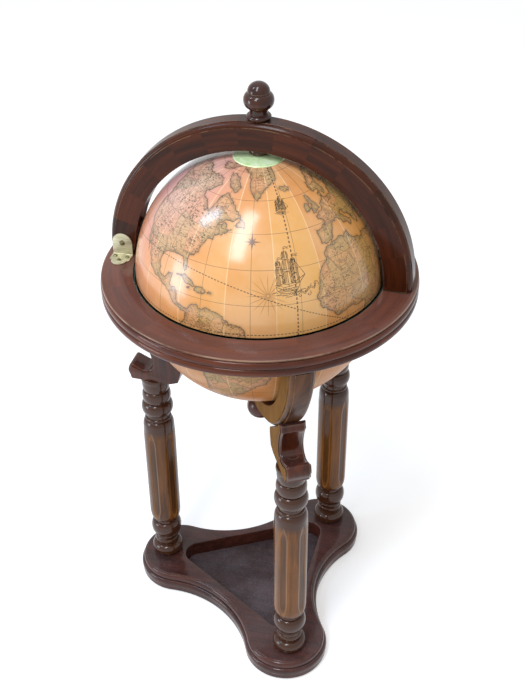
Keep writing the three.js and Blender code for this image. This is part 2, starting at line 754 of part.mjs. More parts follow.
function horizonRing() {
  const ledgeRadius = ringBoreRadius - seatGap - bowlLedge;
  const ledgeLevel = bowlCentre - bowlFlangeHeight - seatGap;
  const beadHeight = (ringThickness - ringLipHeight - ringQuirk - ringBottomInset) / 2;
  const quirkRadius = ringOuterRadius - ringQuirk;
  const crest = quirkRadius + ringBeadSwell;
  const edge = new Turning(ringTop, ringBoreRadius);
  edge.to(ringOuterRadius - ringQuirk / 2).to(ringOuterRadius, ringQuirk / 2);
  edge.to(ringOuterRadius, ringLipHeight - ringQuirk / 2).to(quirkRadius, ringQuirk);
  edge.roll(beadHeight, quirkRadius, crest, beadSteps).roll(beadHeight, quirkRadius, crest, beadSteps);
  edge.to(quirkRadius - ringBottomInset, ringBottomInset);
  edge.to(ledgeRadius).points.push(new THREE.Vector2(ledgeRadius, ledgeLevel));
  edge.points.push(new THREE.Vector2(ringBoreRadius, ledgeLevel), new THREE.Vector2(ringBoreRadius, ringTop));
  const ring = revolve(edge.points, ringSegments);
  const dowelBore = bar(dowelRadius + holeClearance, ringBottom - cutOverrun,
    ringBottom + dowelLength / 2 + holeClearance, dowelCircleRadius, 0, turnedSegments / 2);
  const screwBores = bracketScrewPlaces().map(([x, y]) => bar(smallScrewRadius + seatGap,
    ringTop + leafThickness - smallScrewLength, ringTop + cutOverrun, x, y));
  return cut(ring, ...atEachLeg(dowelBore), ...screwBores);
}

function ringFelt() {
  const band = new Turning(ringTop - feltInset, boreFitRadius - feltThickness);
  band.to(boreFitRadius).to(boreFitRadius, bowlDrop - feltInset - seatGap);
  return revolve(band.end(), ringSegments);
}

// Globe halves

// A quarter arc from the rim to the flat land at the pole; sign is 1 for the lid, -1 for the bowl.
function shellArc(radius, centre, sign, rimAngle = 0) {
  const landAngle = Math.acos(poleLandRadius / radius);
  return arcPoints(0, centre, radius, sign * rimAngle, sign * landAngle, shellSteps);
}

function landEdge(arc, hole) {
  return new THREE.Vector2(hole, arc[arc.length - 1].y);
}

function upperShell() {
  const hole = poleStudRadius + holeClearance;
  const outerArc = shellArc(globeRadius, lidCentre, 1);
  const innerArc = shellArc(lidInnerRadius, lidCentre, 1);
  const profile = [...outerArc, landEdge(outerArc, hole), landEdge(innerArc, hole), ...innerArc.reverse()];
  const shell = revolve([...profile, profile[0].clone()], shellSegments);
  return cut(shell, ...sideHoles());
}

function lowerBowl() {
  const hole = hubBoltRadius + holeClearance;
  const outerArc = shellArc(bowlRadius, bowlCentre, -1, Math.asin(bowlFlangeHeight / bowlRadius));
  const innerArc = shellArc(bowlInnerRadius, bowlCentre, -1);
  const profile = [
    new THREE.Vector2(boreFitRadius, bowlCentre),
    new THREE.Vector2(boreFitRadius, bowlCentre - bowlFlangeHeight),
    ...outerArc, landEdge(outerArc, hole), landEdge(innerArc, hole), ...innerArc.reverse(),
  ];
  return revolve([...profile, profile[0].clone()], shellSegments);
}

// The room inside the bowl, a seat gap clear of its wall.
function bowlRoom() {
  const arc = shellArc(bowlInnerRadius - seatGap, bowlCentre, -1);
  const profile = [new THREE.Vector2(0, bowlCentre), ...arc, landEdge(arc, 0)];
  return revolve(profile, shellSegments);
}

// Rack

const rackTop = bowlCentre - rackLevelShare * bowlInnerRadius;
const rackFloorTop = bowlCentre - rackFloorShare * bowlInnerRadius;

function roundHole(distance, angle, radius) {
  const [x, y] = [distance * Math.cos(angle), distance * Math.sin(angle)];
  return new THREE.Path().absarc(x, y, radius, 0, 2 * Math.PI, true);
}

// A bottle hole toward each leg, a pair of glass holes between them and one big hole in the middle.
function rackHoles() {
  const holes = [roundHole(0, 0, centreHoleRadius)];
  for (const angle of legAngles) {
    holes.push(roundHole(bottleCircleRadius, angle, bottleHoleRadius));
    for (const side of [-1, 1]) {
      const turn = angle + Math.PI / legCount + side * THREE.MathUtils.degToRad(glassAngle);
      holes.push(roundHole(glassCircleRadius, turn, glassHoleRadius));
    }
  }
  return holes;
}

function rectangle(left, right, halfWidth) {
  return new THREE.Shape([
    new THREE.Vector2(left, -halfWidth), new THREE.Vector2(right, -halfWidth),
    new THREE.Vector2(right, halfWidth), new THREE.Vector2(left, halfWidth),
  ]);
}

// Both boards are bevelled to the bowl's wall and sit in it like plugs.
function rackPlate(top, thickness, holes) {
  const blank = rectangle(-bowlInnerRadius, bowlInnerRadius, bowlInnerRadius);
  blank.holes.push(...holes);
  return keepInside(plate(blank, top - thickness, thickness, screwSegments), bowlRoom());
}

function rackPost() {
  const bottom = rackFloorTop + seatGap;
  const top = rackTop - rackBoardThickness - seatGap;
  return bar(rackPostRadius, bottom, top, rackPostCircleRadius, 0, turnedSegments / 2);
}

// Arch

// Sections run up the hinge foot, over the globe and down to the free foot.
function archBody() {
  const half = archDepth / 2;
  const section = mouldedSection(archDepth, archThickness);
  const place = (outer, inward, squeeze) => section.map(([inset, across]) => {
    const from = half + (inset - half) * squeeze;
    return outer.clone().addScaledVector(inward, from).setY(across);
  });
  const rings = [];
  const flatAngle = Math.asin(hingeFootFlat / archDepth);
  for (let i = 0; i < hingeFootSteps; i += 1) {
    const angle = flatAngle + ((Math.PI / 2 - flatAngle) * i) / hingeFootSteps;
    const outer = new THREE.Vector3(-archOuterRadius, 0, pivotLevel - half * Math.cos(angle));
    rings.push(place(outer, new THREE.Vector3(1, 0, 0), Math.sin(angle)));
  }
  const rise = Math.asin((pivotLevel - archCentre) / archOuterRadius);
  for (let i = 0; i <= archSteps; i += 1) {
    const angle = Math.PI - rise - ((Math.PI - rise) * i) / archSteps;
    const inward = new THREE.Vector3(-Math.cos(angle), 0, -Math.sin(angle));
    const outer = new THREE.Vector3(0, 0, archCentre).addScaledVector(inward, -archOuterRadius);
    rings.push(place(outer, inward, 1));
  }
  const freeFoot = ringTop + footPadHeight + 2 * seatGap;
  rings.push(place(new THREE.Vector3(archOuterRadius, 0, freeFoot), new THREE.Vector3(-1, 0, 0), 1));
  const body = skin(rings, (p) => new THREE.Vector2(p.x, p.y));
  const poleHole = bar(poleStudRadius + holeClearance, lidCentre, 2 * lidCentre);
  return cut(body, pivotHole(), poleHole, ...sideHoles());
}

function pivotHole() {
  const radius = hingeBoltRadius + holeClearance;
  return crossBar(radius, archThickness, -pivotRadius, pivotLevel, turnedSegments / 2);
}

// The holes of both side screws, from inside the lid into the arch.
function sideHoles() {
  const inner = lidInnerRadius - 2 * cutOverrun;
  const outer = archInnerRadius + sideScrewGrip + holeClearance;
  return [0, Math.PI].map((turn) => alongSide(bar(smallScrewRadius + holeClearance, inner, outer), turn));
}

// Lays a piece drawn along +Z on the side screw's line.
function alongSide(geometry, turn) {
  const tilt = Math.PI / 2 - THREE.MathUtils.degToRad(sideScrewElevation);
  return geometry.rotateY(tilt).rotateZ(turn).translate(0, 0, lidCentre);
}

function sideScrew(turn) {
  const headTop = lidInnerRadius * shellFacetShare - seatGap;
  const screw = new Turning(archInnerRadius + sideScrewGrip).to(smallScrewRadius / 2);
  screw.to(smallScrewRadius, smallScrewRadius);
  screw.to(smallScrewRadius, screw.level - headTop).to(smallScrewHeadRadius);
  screw.to(smallScrewHeadRadius, smallScrewHeadHeight);
  return alongSide(revolve(screw.end(), screwSegments), turn);
}

// The spacer fills the gap between lid and arch; its ends are cut to both round faces.
function sideSpacer(turn) {
  const hole = smallScrewRadius + holeClearance;
  const tube = new Turning(archInnerRadius + archShank, hole).to(sideSpacerRadius);
  tube.to(sideSpacerRadius, archInnerRadius + archShank - globeRadius);
  tube.points.push(new THREE.Vector2(sideSpacerRadius, globeRadius - cutOverrun));
  tube.points.push(new THREE.Vector2(hole, globeRadius - cutOverrun), tube.points[0].clone());
  const spacer = alongSide(revolve(tube.points, turnedSegments / 2), turn);
  const globe = new THREE.SphereGeometry(globeRadius + seatGap, fineSegments, fineSegments / 2);
  const limit = crossBar(archFitRadius, archThickness, 0, archCentre, fineSegments);
  return keepInside(cut(spacer, globe.translate(0, 0, lidCentre)), limit);
}

function footPad() {
  const halfWidth = archThickness / 2 - mouldQuirk;
  const shape = rectangle(archInnerRadius + mouldQuirk, archOuterRadius - mouldDepth, halfWidth);
  return plate(shape, ringTop + seatGap, footPadHeight);
}

// Pole fittings

function poleCap() {
  const hole = poleStudRadius + holeClearance;
  const under = globeRadius + seatGap;
  const over = under + poleCapThickness;
  const face = (radius) => arcPoints(0, lidCentre, radius, Math.acos(poleCapRadius / radius),
    Math.acos(hole / radius), beadSteps);
  const profile = [...face(under), ...face(over).reverse()];
  return revolve([...profile, profile[0].clone()], turnedSegments);
}

const poleCapTop = lidCentre + globeRadius + seatGap + poleCapThickness;
// The arch's underside where it comes down over the spacer.
const archUnderside = archCentre + archInnerRadius * Math.cos(Math.PI / archSteps);

function poleSpacer() {
  const bore = poleStudRadius + holeClearance;
  const top = archUnderside - seatGap;
  const height = top - poleCapTop - seatGap;
  const spacer = new Turning(top, bore).roll(height, poleSpacerRadius - height / 4, poleSpacerRadius);
  return revolve(spacer.end(), turnedSegments);
}

// Finial: heights as shares of its height, radii as shares of its widest radius
const finialHeightShares = {
  dome: 0.26, groove: 0.026, bulge: 0.4, tail: 0.1, neck: 0.07, foot: 0.144,
};
const finialRadiusShares = {
  dome: 0.73, groove: 0.69, waist: 0.66, neck: 0.59, foot: 0.82,
};
const archCrown = archCentre + archOuterRadius;

function finial() {
  const h = scaled(finialHeightShares, finialHeight);
  const r = scaled(finialRadiusShares, finialRadius);
  const post = new Turning(archCrown + seatGap + finialHeight);
  post.shoulder(h.dome, 0, r.dome, finialSteps).to(r.groove).to(r.groove, h.groove);
  post.roll(h.bulge, r.waist, finialRadius, finialSteps).to(r.neck, h.tail).to(r.neck, h.neck);
  post.roll(h.foot, r.neck, r.foot);
  const socket = bar(poleStudRadius + holeClearance, archCrown - cutOverrun,
    archCrown + studGrip + holeClearance);
  return cut(revolve(post.end(), turnedSegments), socket);
}

const lidLand = lidCentre + Math.sqrt(lidInnerRadius ** 2 - poleLandRadius ** 2);
const lidWasherLevel = lidLand - seatGap - washerThickness;
const lidNutLevel = lidWasherLevel - seatGap - nutHeight;

function poleStud() {
  return bar(poleStudRadius, lidNutLevel - poleStudRadius, archCrown + studGrip);
}

// Hinge brackets

function bracketScrewPlaces() {
  const bend = archThickness / 2 + seatGap;
  const near = bend + leafScrewInset;
  const far = bend + leafShoulder;
  return [-1, 1].flatMap((side) => [
    [-pivotRadius - leafScrewSpread, side * near],
    [-pivotRadius + leafScrewSpread, side * near],
    [-pivotRadius, side * far],
  ]);
}

// One L-shaped bracket: an upright leaf with a round top, and a foot leaf with a narrower round end.
function bracket(side) {
  const half = leafWidth / 2;
  const upright = new THREE.Shape();
  upright.moveTo(-half, ringTop + seatGap).lineTo(half, ringTop + seatGap).lineTo(half, pivotLevel);
  upright.absarc(0, pivotLevel, half, 0, Math.PI, false);
  const wall = plate(upright, side > 0 ? -leafFace : leafFace - leafThickness, leafThickness, leafSteps);
  wall.rotateX(Math.PI / 2).translate(-pivotRadius, 0, 0);
  const foot = new THREE.Shape();
  foot.moveTo(-half, 0).lineTo(half, 0).lineTo(half, leafShoulder - leafNotch);
  foot.lineTo(half - leafNotch, leafShoulder);
  foot.absarc(0, leafShoulder, leafEndRadius, 0, Math.PI, false);
  foot.lineTo(leafNotch - half, leafShoulder).lineTo(-half, leafShoulder - leafNotch);
  const floor = plate(foot, ringTop + seatGap, leafThickness, leafSteps);
  if (side < 0) floor.rotateZ(Math.PI);
  floor.translate(-pivotRadius, side * (archThickness / 2 + seatGap), 0);
  const [holeBottom, holeTop] = [ringTop - cutOverrun, ringTop + leafThickness + cutOverrun];
  const places = bracketScrewPlaces().filter(([, y]) => y * side > 0);
  const holes = places.map(([x, y]) => bar(smallScrewRadius + seatGap, holeBottom, holeTop, x, y));
  return cut(join(wall, floor), ...holes, pivotHole());
}

// A small screw with a domed head, standing on its leaf and pointing down.
function smallScrew() {
  const seat = ringTop + leafThickness + 2 * seatGap;
  const screw = new Turning(seat + smallScrewHeadHeight);
  screw.shoulder(smallScrewHeadHeight, smallScrewRadius, smallScrewHeadRadius, quarterSteps);
  screw.to(smallScrewRadius).to(smallScrewRadius, smallScrewLength - smallScrewRadius);
  screw.to(smallScrewRadius / 2, smallScrewRadius);
  return revolve(screw.end(), screwSegments);
}

function hingeBolt() {
  const head = new Turning(leafFace + seatGap + hingeHeadHeight);
  head.shoulder(hingeHeadHeight, hingeBoltRadius / 2, hingeHeadRadius);
  head.to(hingeBoltRadius);
  head.to(hingeBoltRadius, 2 * (leafFace + seatGap) + hingeNutHeight + hingeBoltRadius / 2);
  return revolve(head.end(), screwSegments).rotateX(Math.PI / 2).translate(-pivotRadius, 0, pivotLevel);
}

function hingeNut() {
  const piece = nut(leafFace + seatGap, hingeBoltRadius, hingeNutHeight);
  return piece.rotateX(-Math.PI / 2).translate(-pivotRadius, 0, pivotLevel);
}

// Assembly

add('base_board', baseBoard(), walnut);
add('base_panel', basePanel(), plainWood);
legAngles.forEach((angle, k) => {
  const number = k + 1;
  add(`glide_${number}`, glide(), felt, angle);
  add(`leg_${number}`, leg(angle), walnutLight, angle);
  const legScrewHead = baseBottom + legScrewRecess;
  add(`leg_screw_${number}`, risingScrew(legScrewHead, baseTop + legScrewGrip, woodScrewRadius,
    woodScrewHeadRadius, woodScrewHeadHeight, legCircleRadius), steel, angle);
  add(`console_${number}`, consoleBody(), walnut, angle);
  add(`console_screw_${number}`, risingScrew(consoleScrewHead, consoleScrewHead + consoleScrewLength,
    woodScrewRadius, woodScrewHeadRadius, woodScrewHeadHeight, consoleScrewRadius), steel, angle);
  add(`lower_arm_${number}`, arm(), walnutLight, angle);
  add(`arm_dowel_${number}`, bar(dowelRadius, ringBottom - dowelLength / 2, ringBottom + dowelLength / 2,
    dowelCircleRadius, 0, turnedSegments / 2), plainWood, angle);
});
add('hub_pad', hubPad(), rubber);
add('drop_knob', dropKnob(), walnut);
add('hub_bolt', hubBolt(), steel);
add('hub_washer', washer(hubWasherLevel, hubBoltRadius), steel);
add('hub_nut', nut(hubNutLevel, hubBoltRadius, nutHeight), steel);
add('horizon_ring', horizonRing(), walnut);
add('ring_felt', ringFelt(), felt);
add('lower_bowl', lowerBowl(), mapPaper);
add('rack_board', rackPlate(rackTop, rackBoardThickness, rackHoles()), walnutLight);
add('rack_floor', rackPlate(rackFloorTop, rackFloorThickness, []), plainWood);
legAngles.forEach((angle, k) => add(`rack_post_${k + 1}`, rackPost(), plainWood, angle + Math.PI / legCount));
add('hinge_bracket_front', bracket(-1), brass);
add('hinge_bracket_rear', bracket(1), brass);
bracketScrewPlaces().forEach(([x, y], k) => {
  add(`bracket_screw_${k + 1}`, smallScrew().translate(x, y, 0), steel);
});
add('hinge_bolt', hingeBolt(), steel);
add('hinge_nut', hingeNut(), steel);
add('arch', archBody(), walnut);
add('foot_pad', footPad(), felt);
add('upper_shell', upperShell(), mapPaper);
add('pole_cap', poleCap(), brass);
add('pole_spacer', poleSpacer(), walnut);
add('finial', finial(), walnut);
add('pole_stud', poleStud(), steel);
add('lid_washer', washer(lidWasherLevel, poleStudRadius), steel);
add('lid_nut', nut(lidNutLevel, poleStudRadius, nutHeight), steel);
add('side_spacer_hinge', sideSpacer(Math.PI), rubber);
add('side_spacer_free', sideSpacer(0), rubber);
add('side_screw_hinge', sideScrew(Math.PI), steel);
add('side_screw_free', sideScrew(0), steel);

export default globeBar;
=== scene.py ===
import math
import bpy
import numpy as np
from mathutils import Matrix, Vector, geometry


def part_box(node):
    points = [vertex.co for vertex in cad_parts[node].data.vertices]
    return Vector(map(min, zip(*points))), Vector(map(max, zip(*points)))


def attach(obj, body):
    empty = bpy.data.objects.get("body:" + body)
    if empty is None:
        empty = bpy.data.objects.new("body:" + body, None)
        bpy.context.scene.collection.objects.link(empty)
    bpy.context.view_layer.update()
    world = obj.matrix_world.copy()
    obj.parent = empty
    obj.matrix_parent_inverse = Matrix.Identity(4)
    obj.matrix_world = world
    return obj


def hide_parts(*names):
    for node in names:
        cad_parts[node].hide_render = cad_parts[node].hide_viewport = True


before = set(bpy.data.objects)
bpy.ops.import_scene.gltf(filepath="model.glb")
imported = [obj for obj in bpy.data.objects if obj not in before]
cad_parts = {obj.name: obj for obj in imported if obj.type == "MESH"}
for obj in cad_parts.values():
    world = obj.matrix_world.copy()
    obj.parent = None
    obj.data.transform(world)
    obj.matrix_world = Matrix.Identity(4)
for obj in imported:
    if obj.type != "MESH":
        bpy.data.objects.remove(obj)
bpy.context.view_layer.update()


# Base board
# A trefoil board of stained beech, sawn and routed from one glued-up blank. Its edge carries a
# lip and two rolls, and a three-cornered tray is let through its middle for the bottom panel.
mm = 0.001
weld = 0.01 * mm
leg_turns = [math.radians(turn) for turn in (180, -60, 60)]
leg_out = 196.5
base_top = 41.3
lobe_centre = 172
lobe_radius = 66
base_waist = 105
roll_out = 4.6
roll_half = 6.5
under_roll = 9.6
tray_inradius = 92
tray_corner = 26
rebate_lip = 6
rebate_top = 8.1
screw_sink_radius = 7.35
screw_sink_depth = 20


def start_line(name, point):
    """One vertex in edit mode, where a drawn line begins."""
    bpy.ops.object.select_all(action="DESELECT")
    bpy.ops.mesh.primitive_plane_add(size=mm, location=point)
    piece = bpy.context.object
    piece.name = name
    bpy.ops.object.transform_apply(location=True, rotation=False, scale=False)
    bpy.ops.object.mode_set(mode="EDIT")
    bpy.ops.mesh.select_mode(type="VERT")
    bpy.ops.mesh.select_all(action="SELECT")
    bpy.ops.mesh.merge(type="CENTER")
    return piece


def draw_line(name, points):
    """A line through the points, in mm; its last vertex stays selected."""
    points = [Vector(point) * mm for point in points]
    piece = start_line(name, points[0])
    for last, point in zip(points, points[1:]):
        bpy.ops.mesh.extrude_vertices_move(TRANSFORM_OT_translate={"value": point - last})
    return piece


def spin_on(steps, degrees, centre, axis=(0, 0, 1)):
    """Carries what is selected round an axis, anticlockwise for a positive turn."""
    centre = [part * mm for part in centre]
    bpy.ops.mesh.spin(steps=steps, angle=-math.radians(degrees), center=centre, axis=axis)


def shade_smooth(crease=32):
    """Shades the curved faces of the picked piece smooth, and keeps sharper edges crisp."""
    bpy.ops.object.shade_smooth_by_angle(angle=math.radians(crease))


def close_up(piece):
    """Welds the seams, turns every face outward and shades the curved ones smooth."""
    bpy.ops.mesh.select_all(action="SELECT")
    bpy.ops.mesh.remove_doubles(threshold=weld)
    bpy.ops.mesh.normals_make_consistent(inside=False)
    bpy.ops.object.mode_set(mode="OBJECT")
    shade_smooth()
    return piece


def work_on(piece):
    bpy.ops.object.select_all(action="DESELECT")
    piece.select_set(True)
    bpy.context.view_layer.objects.active = piece


def arc(centre, radius, start, end, steps):
    """Points of a flat arc, in mm, between two angles in degrees."""
    angles = [math.radians(start + (end - start) * i / steps) for i in range(steps + 1)]
    return [(centre[0] + radius * math.cos(a), centre[1] + radius * math.sin(a)) for a in angles]


def prism(name, outline, low, high, side=lambda x, y, level: (x, y, level)):
    """A flat outline filled and pulled out from one level to another."""
    piece = draw_line(name, [side(x, y, low) for x, y in outline])
    bpy.ops.mesh.select_all(action="SELECT")
    bpy.ops.mesh.edge_face_add()
    pull = Vector(side(0, 0, high)) - Vector(side(0, 0, low))
    bpy.ops.mesh.extrude_region_move(TRANSFORM_OT_translate={"value": pull * mm})
    return close_up(piece)


def combine(piece, other, operation="DIFFERENCE"):
    """Cuts the other solid away from a piece, or glues it on, and keeps only the piece."""
    work_on(piece)
    change = piece.modifiers.new("joinery", "BOOLEAN")
    change.operation = operation
    change.solver = "EXACT"
    change.object = other
    bpy.ops.object.modifier_apply(modifier=change.name)
    bpy.data.objects.remove(other)
    return piece


def start_edit(piece, kind, action="DESELECT"):
    """Opens a piece for editing, with all or nothing of it picked."""
    work_on(piece)
    bpy.ops.object.mode_set(mode="EDIT")
    bpy.ops.mesh.select_mode(type=kind)
    bpy.ops.mesh.select_all(action=action)


def pick(piece, kind, wanted):
    """Picks the vertices, or the edges by both ends, that pass the test, in mm, and stays open."""
    start_edit(piece, kind)
    bpy.ops.object.mode_set(mode="OBJECT")
    mesh = piece.data
    passed = [bool(wanted(vertex.co / mm)) for vertex in mesh.vertices]
    if kind == "VERT":
        mesh.vertices.foreach_set("select", passed)
    else:
        both_ends = [all(passed[end] for end in edge.vertices) for edge in mesh.edges]
        mesh.edges.foreach_set("select", both_ends)
    bpy.ops.object.mode_set(mode="EDIT")


def ease(width, segments=3):
    """Rounds the picked edges over and leaves edit mode."""
    bpy.ops.mesh.bevel(offset=width * mm, segments=segments, affect="EDGES", clamp_overlap=False)
    bpy.ops.object.mode_set(mode="OBJECT")
    shade_smooth()


def toward(distance, turn):
    return (distance * math.cos(turn), distance * math.sin(turn), 0)


base_edge = [(0, 0), (0.7, 0.1), (1.3, 0.5), (1.6, 1.1), (1.6, 2)]
for rim, top in ((1.6, 2), (6.2, 15)):
    base_edge += [(rim + roll_out * x, top + roll_half * (1 + y))
                  for x, y in arc((0, 0), 1, -84, 0, 12)]
    base_edge += [(rim + roll_out - 2.4 * (1 - x), top + under_roll + 3 * y)
                  for x, y in arc((0, 0), 1, 0, 78, 6)]
base_edge += [(9.6, 28), (9.6, 37), (8.8, 38)]

reach = lobe_radius - base_waist
hollow_centre = (lobe_centre ** 2 - reach ** 2) / (2 * reach + lobe_centre)
half_side = math.radians(60)
joint = math.degrees(math.atan2(hollow_centre * math.sin(half_side),
                                hollow_centre * math.cos(half_side) - lobe_centre))
first_lobe = Vector(toward(lobe_centre, leg_turns[0]))
first_way = Vector(toward(1, leg_turns[0] - math.radians(joint)))
base_board = draw_line("base_board_moulded", [
    first_lobe + first_way * (lobe_radius + out) + Vector((0, 0, base_top - drop))
    for out, drop in base_edge])
bpy.ops.mesh.select_all(action="SELECT")
for lobe in range(3):
    turn = leg_turns[0] + 2 * lobe * half_side
    spin_on(90, 2 * joint, toward(lobe_centre, turn))
    spin_on(36, 120 - 2 * joint, toward(hollow_centre, turn + half_side))
bpy.ops.mesh.select_all(action="SELECT")
bpy.ops.mesh.remove_doubles(threshold=weld)
bpy.ops.mesh.fill_holes(sides=0)
close_up(base_board)


def three_cornered(inradius, corner):
    """The outline of a triangle with round corners toward the legs."""
    points = []
    for turn in (0, 120, 240):
        centre = toward(2 * (inradius - corner), math.radians(180 + turn))
        points += arc(centre, corner, 120 + turn, 240 + turn, 24)
    return points


combine(base_board, prism("tray", three_cornered(tray_inradius, tray_corner), -1, 60))
combine(base_board, prism("rebate", three_cornered(
    tray_inradius + rebate_lip, tray_corner + rebate_lip), -1, rebate_top))
for turn in leg_turns:
    under_leg = Vector(toward(leg_out, turn)) + Vector((0, 0, 0.6))
    bpy.ops.object.select_all(action="DESELECT")
    bpy.ops.mesh.primitive_cylinder_add(
        vertices=48, radius=screw_sink_radius * mm, depth=screw_sink_depth * mm,
        location=under_leg * mm)
    combine(base_board, bpy.context.object)
side_ways = [Vector(toward(1, turn + half_side)) for turn in leg_turns]
pick(base_board, "EDGE", lambda p: p.z > base_top - 0.01 and
     max(p.dot(way) for way in side_ways) < tray_inradius + 0.2)
ease(1.4)


class Value:
    """What a node gives out; sums written with it become further nodes of the same tree."""

    def __init__(self, socket):
        self.socket = socket
        self.tree = socket.id_data

    def __getitem__(self, name):
        """Another output of the same node."""
        return Value(self.socket.node.outputs[name])

    def reckon(self, kind, other=0.0):
        return place(self.tree, "ShaderNodeMath", {0: self, 1: other}, operation=kind)

    def __add__(self, other):
        return self.reckon("ADD", other)

    def __sub__(self, other):
        return self.reckon("SUBTRACT", other)

    def __rsub__(self, other):
        return place(self.tree, "ShaderNodeMath", {0: other, 1: self}, operation="SUBTRACT")

    def __mul__(self, other):
        return self.reckon("MULTIPLY", other)

    def __truediv__(self, other):
        return self.reckon("DIVIDE", other)

    def __abs__(self):
        return self.reckon("ABSOLUTE")


def place(tree, kind, sockets=None, **settings):
    """Puts a node in a tree and gives its first output; a socket takes a number or a value."""
    made = tree.nodes.new(kind)
    for name, value in settings.items():
        setattr(made, name, value)
    for name, value in (sockets or {}).items():
        if isinstance(value, Value):
            tree.links.new(value.socket, made.inputs[name])
        else:
            made.inputs[name].default_value = value
    return Value(made.outputs[0])


def most(first, *others):
    """The greatest of several values."""
    for other in others:
        first = first.reckon("MAXIMUM", other)
    return first


def vector_sum(kind, first, second=(0, 0, 0)):
    return place(first.tree, "ShaderNodeVectorMath", {0: first, 1: second}, operation=kind)


def dotted(first, second):
    return vector_sum("DOT_PRODUCT", first, second)["Value"]


def split(vector):
    parts = place(vector.tree, "ShaderNodeSeparateXYZ", {0: vector})
    return [parts[axis] for axis in "XYZ"]


def joined(x, y, z):
    return place(x.tree, "ShaderNodeCombineXYZ", {0: x, 1: y, 2: z})


def blend(share, under, over):
    """Lays one colour over another by a mask."""
    return place(share.tree, "ShaderNodeMix", {0: share, 6: under, 7: over}, data_type="RGBA")[2]


def fade(value, low, high, rise="SMOOTHSTEP"):
    """0 below low, 1 above high and a smooth or even rise between."""
    return place(value.tree, "ShaderNodeMapRange", {0: value, 1: low, 2: high}, interpolation_type=rise)


def speckle(where, pitch, detail=3.0, roughness=0.55, twist=0.0):
    """Noise, of one pitch or of a pitch along each axis."""
    spread = vector_sum("MULTIPLY", where, pitch if isinstance(pitch, tuple) else (pitch,) * 3)
    return place(where.tree, "ShaderNodeTexNoise", {
        "Vector": spread, "Scale": 1.0, "Detail": detail, "Roughness": roughness, "Distortion": twist})


def stain(code):
    """A colour written as on a stain chart, turned to the linear values a shader takes."""
    parts = [int(code[i:i + 2], 16) / 255 for i in (1, 3, 5)]
    return (*[p / 12.92 if p <= 0.04045 else ((p + 0.055) / 1.055) ** 2.4 for p in parts], 1)


def open_group(name, **takes):
    """Starts a node group; it takes a vector for None, a colour for a colour, else a number."""
    group = bpy.data.node_groups.new(name, "ShaderNodeTree")
    for label, value in takes.items():
        kind = "Vector" if value is None else "Color" if isinstance(value, tuple) else "Float"
        socket = group.interface.new_socket(label, in_out="INPUT", socket_type=f"NodeSocket{kind}")
        if value is not None:
            socket.default_value = value
    return group, Value(group.nodes.new("NodeGroupInput").outputs[0])


def close_group(group, **gives):
    """Leads values to the group's outputs."""
    for label, value in gives.items():
        kind = "Color" if value.socket.type == "RGBA" else "Float"
        group.interface.new_socket(label, in_out="OUTPUT", socket_type=f"NodeSocket{kind}")
    end = group.nodes.new("NodeGroupOutput")
    for label, value in gives.items():
        group.links.new(value.socket, end.inputs[label])


def use_group(tree, group, **sockets):
    return place(tree, "ShaderNodeGroup", sockets, node_tree=group)


def new_finish(name):
    """An empty material, its tree and the piece's own coordinates."""
    finish = bpy.data.materials.new(name)
    finish.use_nodes = True
    tree = finish.node_tree
    tree.nodes.clear()
    return finish, tree, place(tree, "ShaderNodeTexCoord")["Object"]


def surface(tree, sockets, strength=0.0, depth=0.0, height=None):
    """The material's surface, with a fine relief of some depth in metres."""
    if height:
        sockets["Normal"] = place(tree, "ShaderNodeBump", {
            "Strength": strength, "Distance": depth, "Height": height})
    shader = place(tree, "ShaderNodeBsdfPrincipled", sockets)
    tree.links.new(shader.socket, tree.nodes.new("ShaderNodeOutputMaterial").inputs[0])


def finish_with(finish, *pieces):
    """Gives pieces, or nodes of the CAD model by name, their finish."""
    for piece in pieces:
        if isinstance(piece, str):
            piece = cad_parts[piece]
        piece.data.materials.clear()
        piece.data.materials.append(finish)


wood_figure, given = open_group("wood_figure", Along=None, Dark=stain("#34160d"), Pale=stain("#63321f"),
                                Tone=0.0, Pores=0.5)
streaks = speckle(given["Along"], (7, 95, 95), 8.0, 0.62, 0.5)
cloud = speckle(given["Along"], (3, 11, 11))
pores = speckle(given["Along"], (45, 1300, 1300), 2.0)
share = fade(streaks * 0.55 + cloud * 0.45, 0.36, 0.66) + given["Tone"]
open_pores = fade(pores, 0.55, 0.7) * given["Pores"]
figure = blend(place(wood_figure, "ShaderNodeClamp", {0: share}), given["Dark"], given["Pale"])
close_group(wood_figure, Color=blend(open_pores, figure, given["Dark"]),
            Height=streaks * 0.35 - open_pores)

rubbed_edge, given = open_group("rubbed_edge", Where=None, Width=0.0016, Amount=1.0)
rounded = place(rubbed_edge, "ShaderNodeBevel", {"Radius": given["Width"]}, samples=6)
edge = fade(dotted(rounded, place(rubbed_edge, "ShaderNodeNewGeometry")["Normal"]), 0.985, 0.86)
patches = fade(speckle(given["Where"], 38, 4.0, 0.6), 0.38, 0.62)
close_group(rubbed_edge, Mask=edge * patches * given["Amount"])

settled_dust, given = open_group("settled_dust", Where=None, Amount=0.3)
lie = split(place(settled_dust, "ShaderNodeNewGeometry")["Normal"])[2]
drift = fade(speckle(given["Where"], 9, 5.0, 0.65), 0.25, 0.9)
grit = fade(speckle(given["Where"], 420, 2.0), 0.5, 0.75)
close_group(settled_dust, Mask=fade(lie, 0.6, 0.95) * (drift + grit * 0.5) * given["Amount"])


